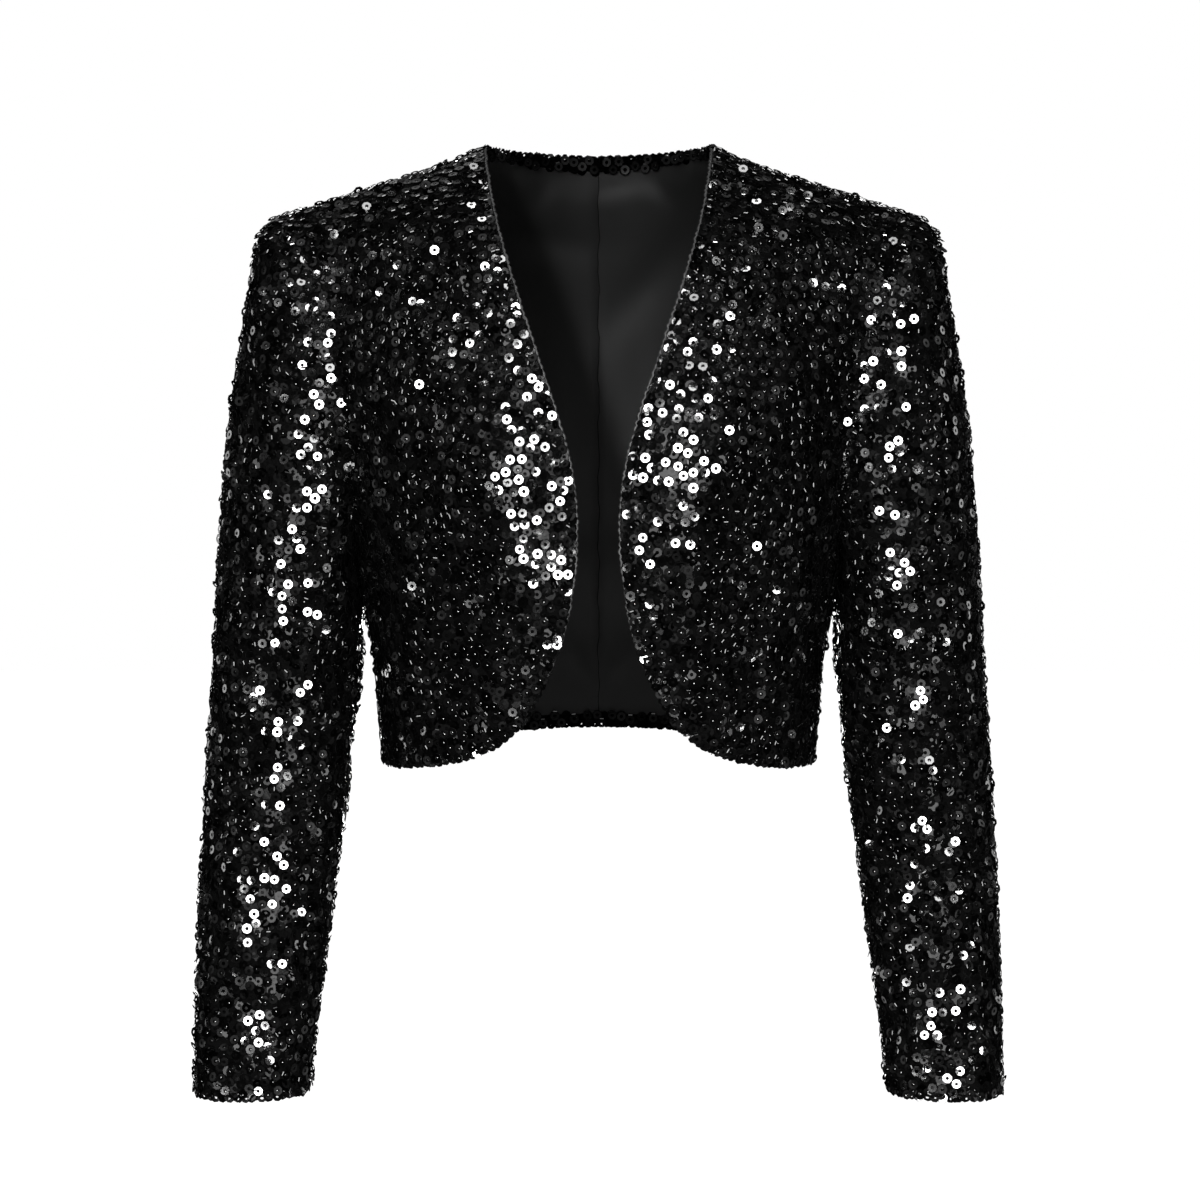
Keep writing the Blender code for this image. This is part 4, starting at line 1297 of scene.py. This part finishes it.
def line_back(back, back_lines, sequin, finishes):
    _, base, satin, _ = finishes
    fine = finer(back, LINING_ROW_STEPS, LINING_COLUMN_STEPS, corner=LOW_ROWS)
    lines = finer(back_lines, LINING_ROW_STEPS, LINING_COLUMN_STEPS)
    nearest = WALL + LINING_GAP
    plain = [fine + lines * depth for depth in (nearest, nearest + LINING_WALL)]
    middle = (NECK_COLUMNS + FRONT_COLUMNS) * LINING_COLUMN_STEPS
    rows = slice(LINING_ROW_STEPS, -LINING_ROW_STEPS)
    lining = [skin.copy() for skin in plain]
    for skin in lining:
        skin[rows] = eased(skin[rows], lines[rows])
    halves = (
        ("lining_right", slice(0, middle + 1), "start", "end"),
        ("lining_left", slice(middle, None), "end", "start"),
    )
    for name, columns, side, centre in halves:
        walls = [drawn_back(skin[rows, columns], ("bottom", "top"), LINING_GAP / 2) for skin in lining]
        walls = [drawn_back(drawn_back(skin, (centre,), SEAM_PART), (side,), LINING_INSET) for skin in walls]
        shell = cloth(f"{name}_cloth", *walls, False, (satin,))
        sewn(shell, name)
    neck = under_neck(LINING_COLUMN_STEPS)
    bands = (
        ("neck_edge", (slice(-LINING_ROW_STEPS - 1, None), neck), "bottom", 0.15, 0.0011),
        ("hem_edge", (slice(0, LINING_ROW_STEPS + 1), slice(None)), "top", 0.34, 0.0023),
    )
    for number, (name, cut, seam, length, area) in enumerate(bands):
        walls = [drawn_back(skin[cut], (seam, "start", "end"), LINING_GAP / 2) for skin in plain]
        shell = cloth(f"{name}_cloth", *walls, False, (base,))
        going = panel_sequins(name, walls[1], sequin, 50 + number, "edge")
        sewn(shell, name, going)


def aimed(obj, place, aim):
    obj.location = place
    obj.rotation_euler = (Vector(aim) - Vector(place)).to_track_quat("-Z", "Y").to_euler()


def light(lamp, groups):
    data = bpy.data.lights.new(lamp.name, "SPOT" if lamp.shape == "SPOT" else "AREA")
    data.energy = lamp.power
    if lamp.shape == "SPOT":
        data.shadow_soft_size = lamp.size
        data.spot_size = np.radians(SPOT_ANGLE)
        data.spot_blend = 1.0
    else:
        data.shape = lamp.shape
        data.size = lamp.size
    if lamp.shape == "RECTANGLE":
        data.size_y = RIM_HEIGHT
    obj = put(lamp.name, data)
    aimed(obj, lamp.place, lamp.aim)
    obj.visible_camera = False
    if lamp.lights:
        obj.light_linking.receiver_collection = groups[lamp.lights]


def camera():
    obj = put("camera", bpy.data.cameras.new("camera"))
    obj.data.lens = CAMERA_LENS
    obj.data.sensor_width = CAMERA_SENSOR
    turn = np.radians(CAMERA_ELEVATION)
    aimed(obj, Vector(AIM) + Vector((0, -np.cos(turn), np.sin(turn))) * CAMERA_DISTANCE, AIM)
    bpy.context.scene.camera = obj


def graded(tree, value, start, end, low, high):
    """The value, from start to end, moved smoothly to run from low to high."""
    made = tree.nodes.new("ShaderNodeMapRange")
    made.interpolation_type = "SMOOTHSTEP"
    for name, number in (("From Min", start), ("From Max", end), ("To Min", low), ("To Max", high)):
        made.inputs[name].default_value = number
    tree.links.new(value, made.inputs["Value"])
    return made.outputs[0]


def added(tree, one, other):
    made = tree.nodes.new("ShaderNodeMath")
    tree.links.new(one, made.inputs[0])
    tree.links.new(other, made.inputs[1])
    return made.outputs[0]


def surroundings():
    """White as the camera sees them, and dark as the sequins mirror them, with soft bright patches."""
    world = bpy.data.worlds.new("studio")
    bpy.context.scene.world = world
    world.use_nodes = True
    tree = world.node_tree
    tree.nodes.clear()
    where = tree.nodes.new("ShaderNodeTexCoord").outputs["Generated"]
    split = tree.nodes.new("ShaderNodeSeparateXYZ")
    tree.links.new(where, split.inputs[0])
    cloud = tree.nodes.new("ShaderNodeTexNoise")
    cloud.inputs["Scale"].default_value = 2.2
    cloud.inputs["Detail"].default_value = 3
    tree.links.new(where, cloud.inputs["Vector"])
    behind = graded(tree, split.outputs["Y"], 0.2, 0.95, 0.0, 0.008)
    below = graded(tree, split.outputs["Z"], -0.3, -0.85, 0.0, 0.06)
    patches = graded(tree, cloud.outputs[0], 0.49, 0.74, 0.0006, 0.8)
    lit = tree.nodes.new("ShaderNodeBackground")
    tree.links.new(added(tree, added(tree, behind, below), patches), lit.inputs["Strength"])
    seen = tree.nodes.new("ShaderNodeBackground")
    seen.inputs["Color"].default_value = (1, 1, 1, 1)
    mix = tree.nodes.new("ShaderNodeMixShader")
    tree.links.new(tree.nodes.new("ShaderNodeLightPath").outputs["Is Camera Ray"], mix.inputs[0])
    tree.links.new(lit.outputs[0], mix.inputs[1])
    tree.links.new(seen.outputs[0], mix.inputs[2])
    tree.links.new(mix.outputs[0], tree.nodes.new("ShaderNodeOutputWorld").inputs[0])


def lit_groups():
    """Groups of pieces that a lamp can light alone."""
    groups = {name: bpy.data.collections.new(name) for name in ("inside", "outside", "behind", "sleeves")}
    for piece in bpy.context.scene.objects:
        if piece.type != "MESH":
            continue
        turned_in = piece.name.startswith(("lining", "neck_edge", "hem_edge", "back_edge"))
        groups["inside" if turned_in else "outside"].objects.link(piece)
        if piece.name.startswith("back_") and not turned_in:
            groups["behind"].objects.link(piece)
        if piece.name.startswith("sleeve_"):
            groups["sleeves"].objects.link(piece)
    return groups


def pale_floor():
    corners = [(x * FLOOR_HALF, y * FLOOR_HALF, FLOOR_Z) for x, y in ((-1, -1), (1, -1), (1, 1), (-1, 1))]
    data = bpy.data.meshes.new("floor")
    data.from_pydata(corners, [], [(0, 1, 2, 3)])
    floor = put("floor", data)
    finish = bpy.data.materials.new("pale_floor")
    finish.use_nodes = True
    shader = finish.node_tree.nodes["Principled BSDF"]
    shader.inputs["Base Color"].default_value = (0.9, 0.9, 0.9, 1)
    shader.inputs["Emission Color"].default_value = (1, 1, 1, 1)
    shader.inputs["Emission Strength"].default_value = 1.0
    data.materials.append(finish)
    floor.visible_glossy = False


def studio():
    camera()
    surroundings()
    groups = lit_groups()
    for lamp in LAMPS:
        light(lamp, groups)
    pale_floor()
    bpy.context.scene.view_settings.view_transform = "Standard"


dress()
studio()
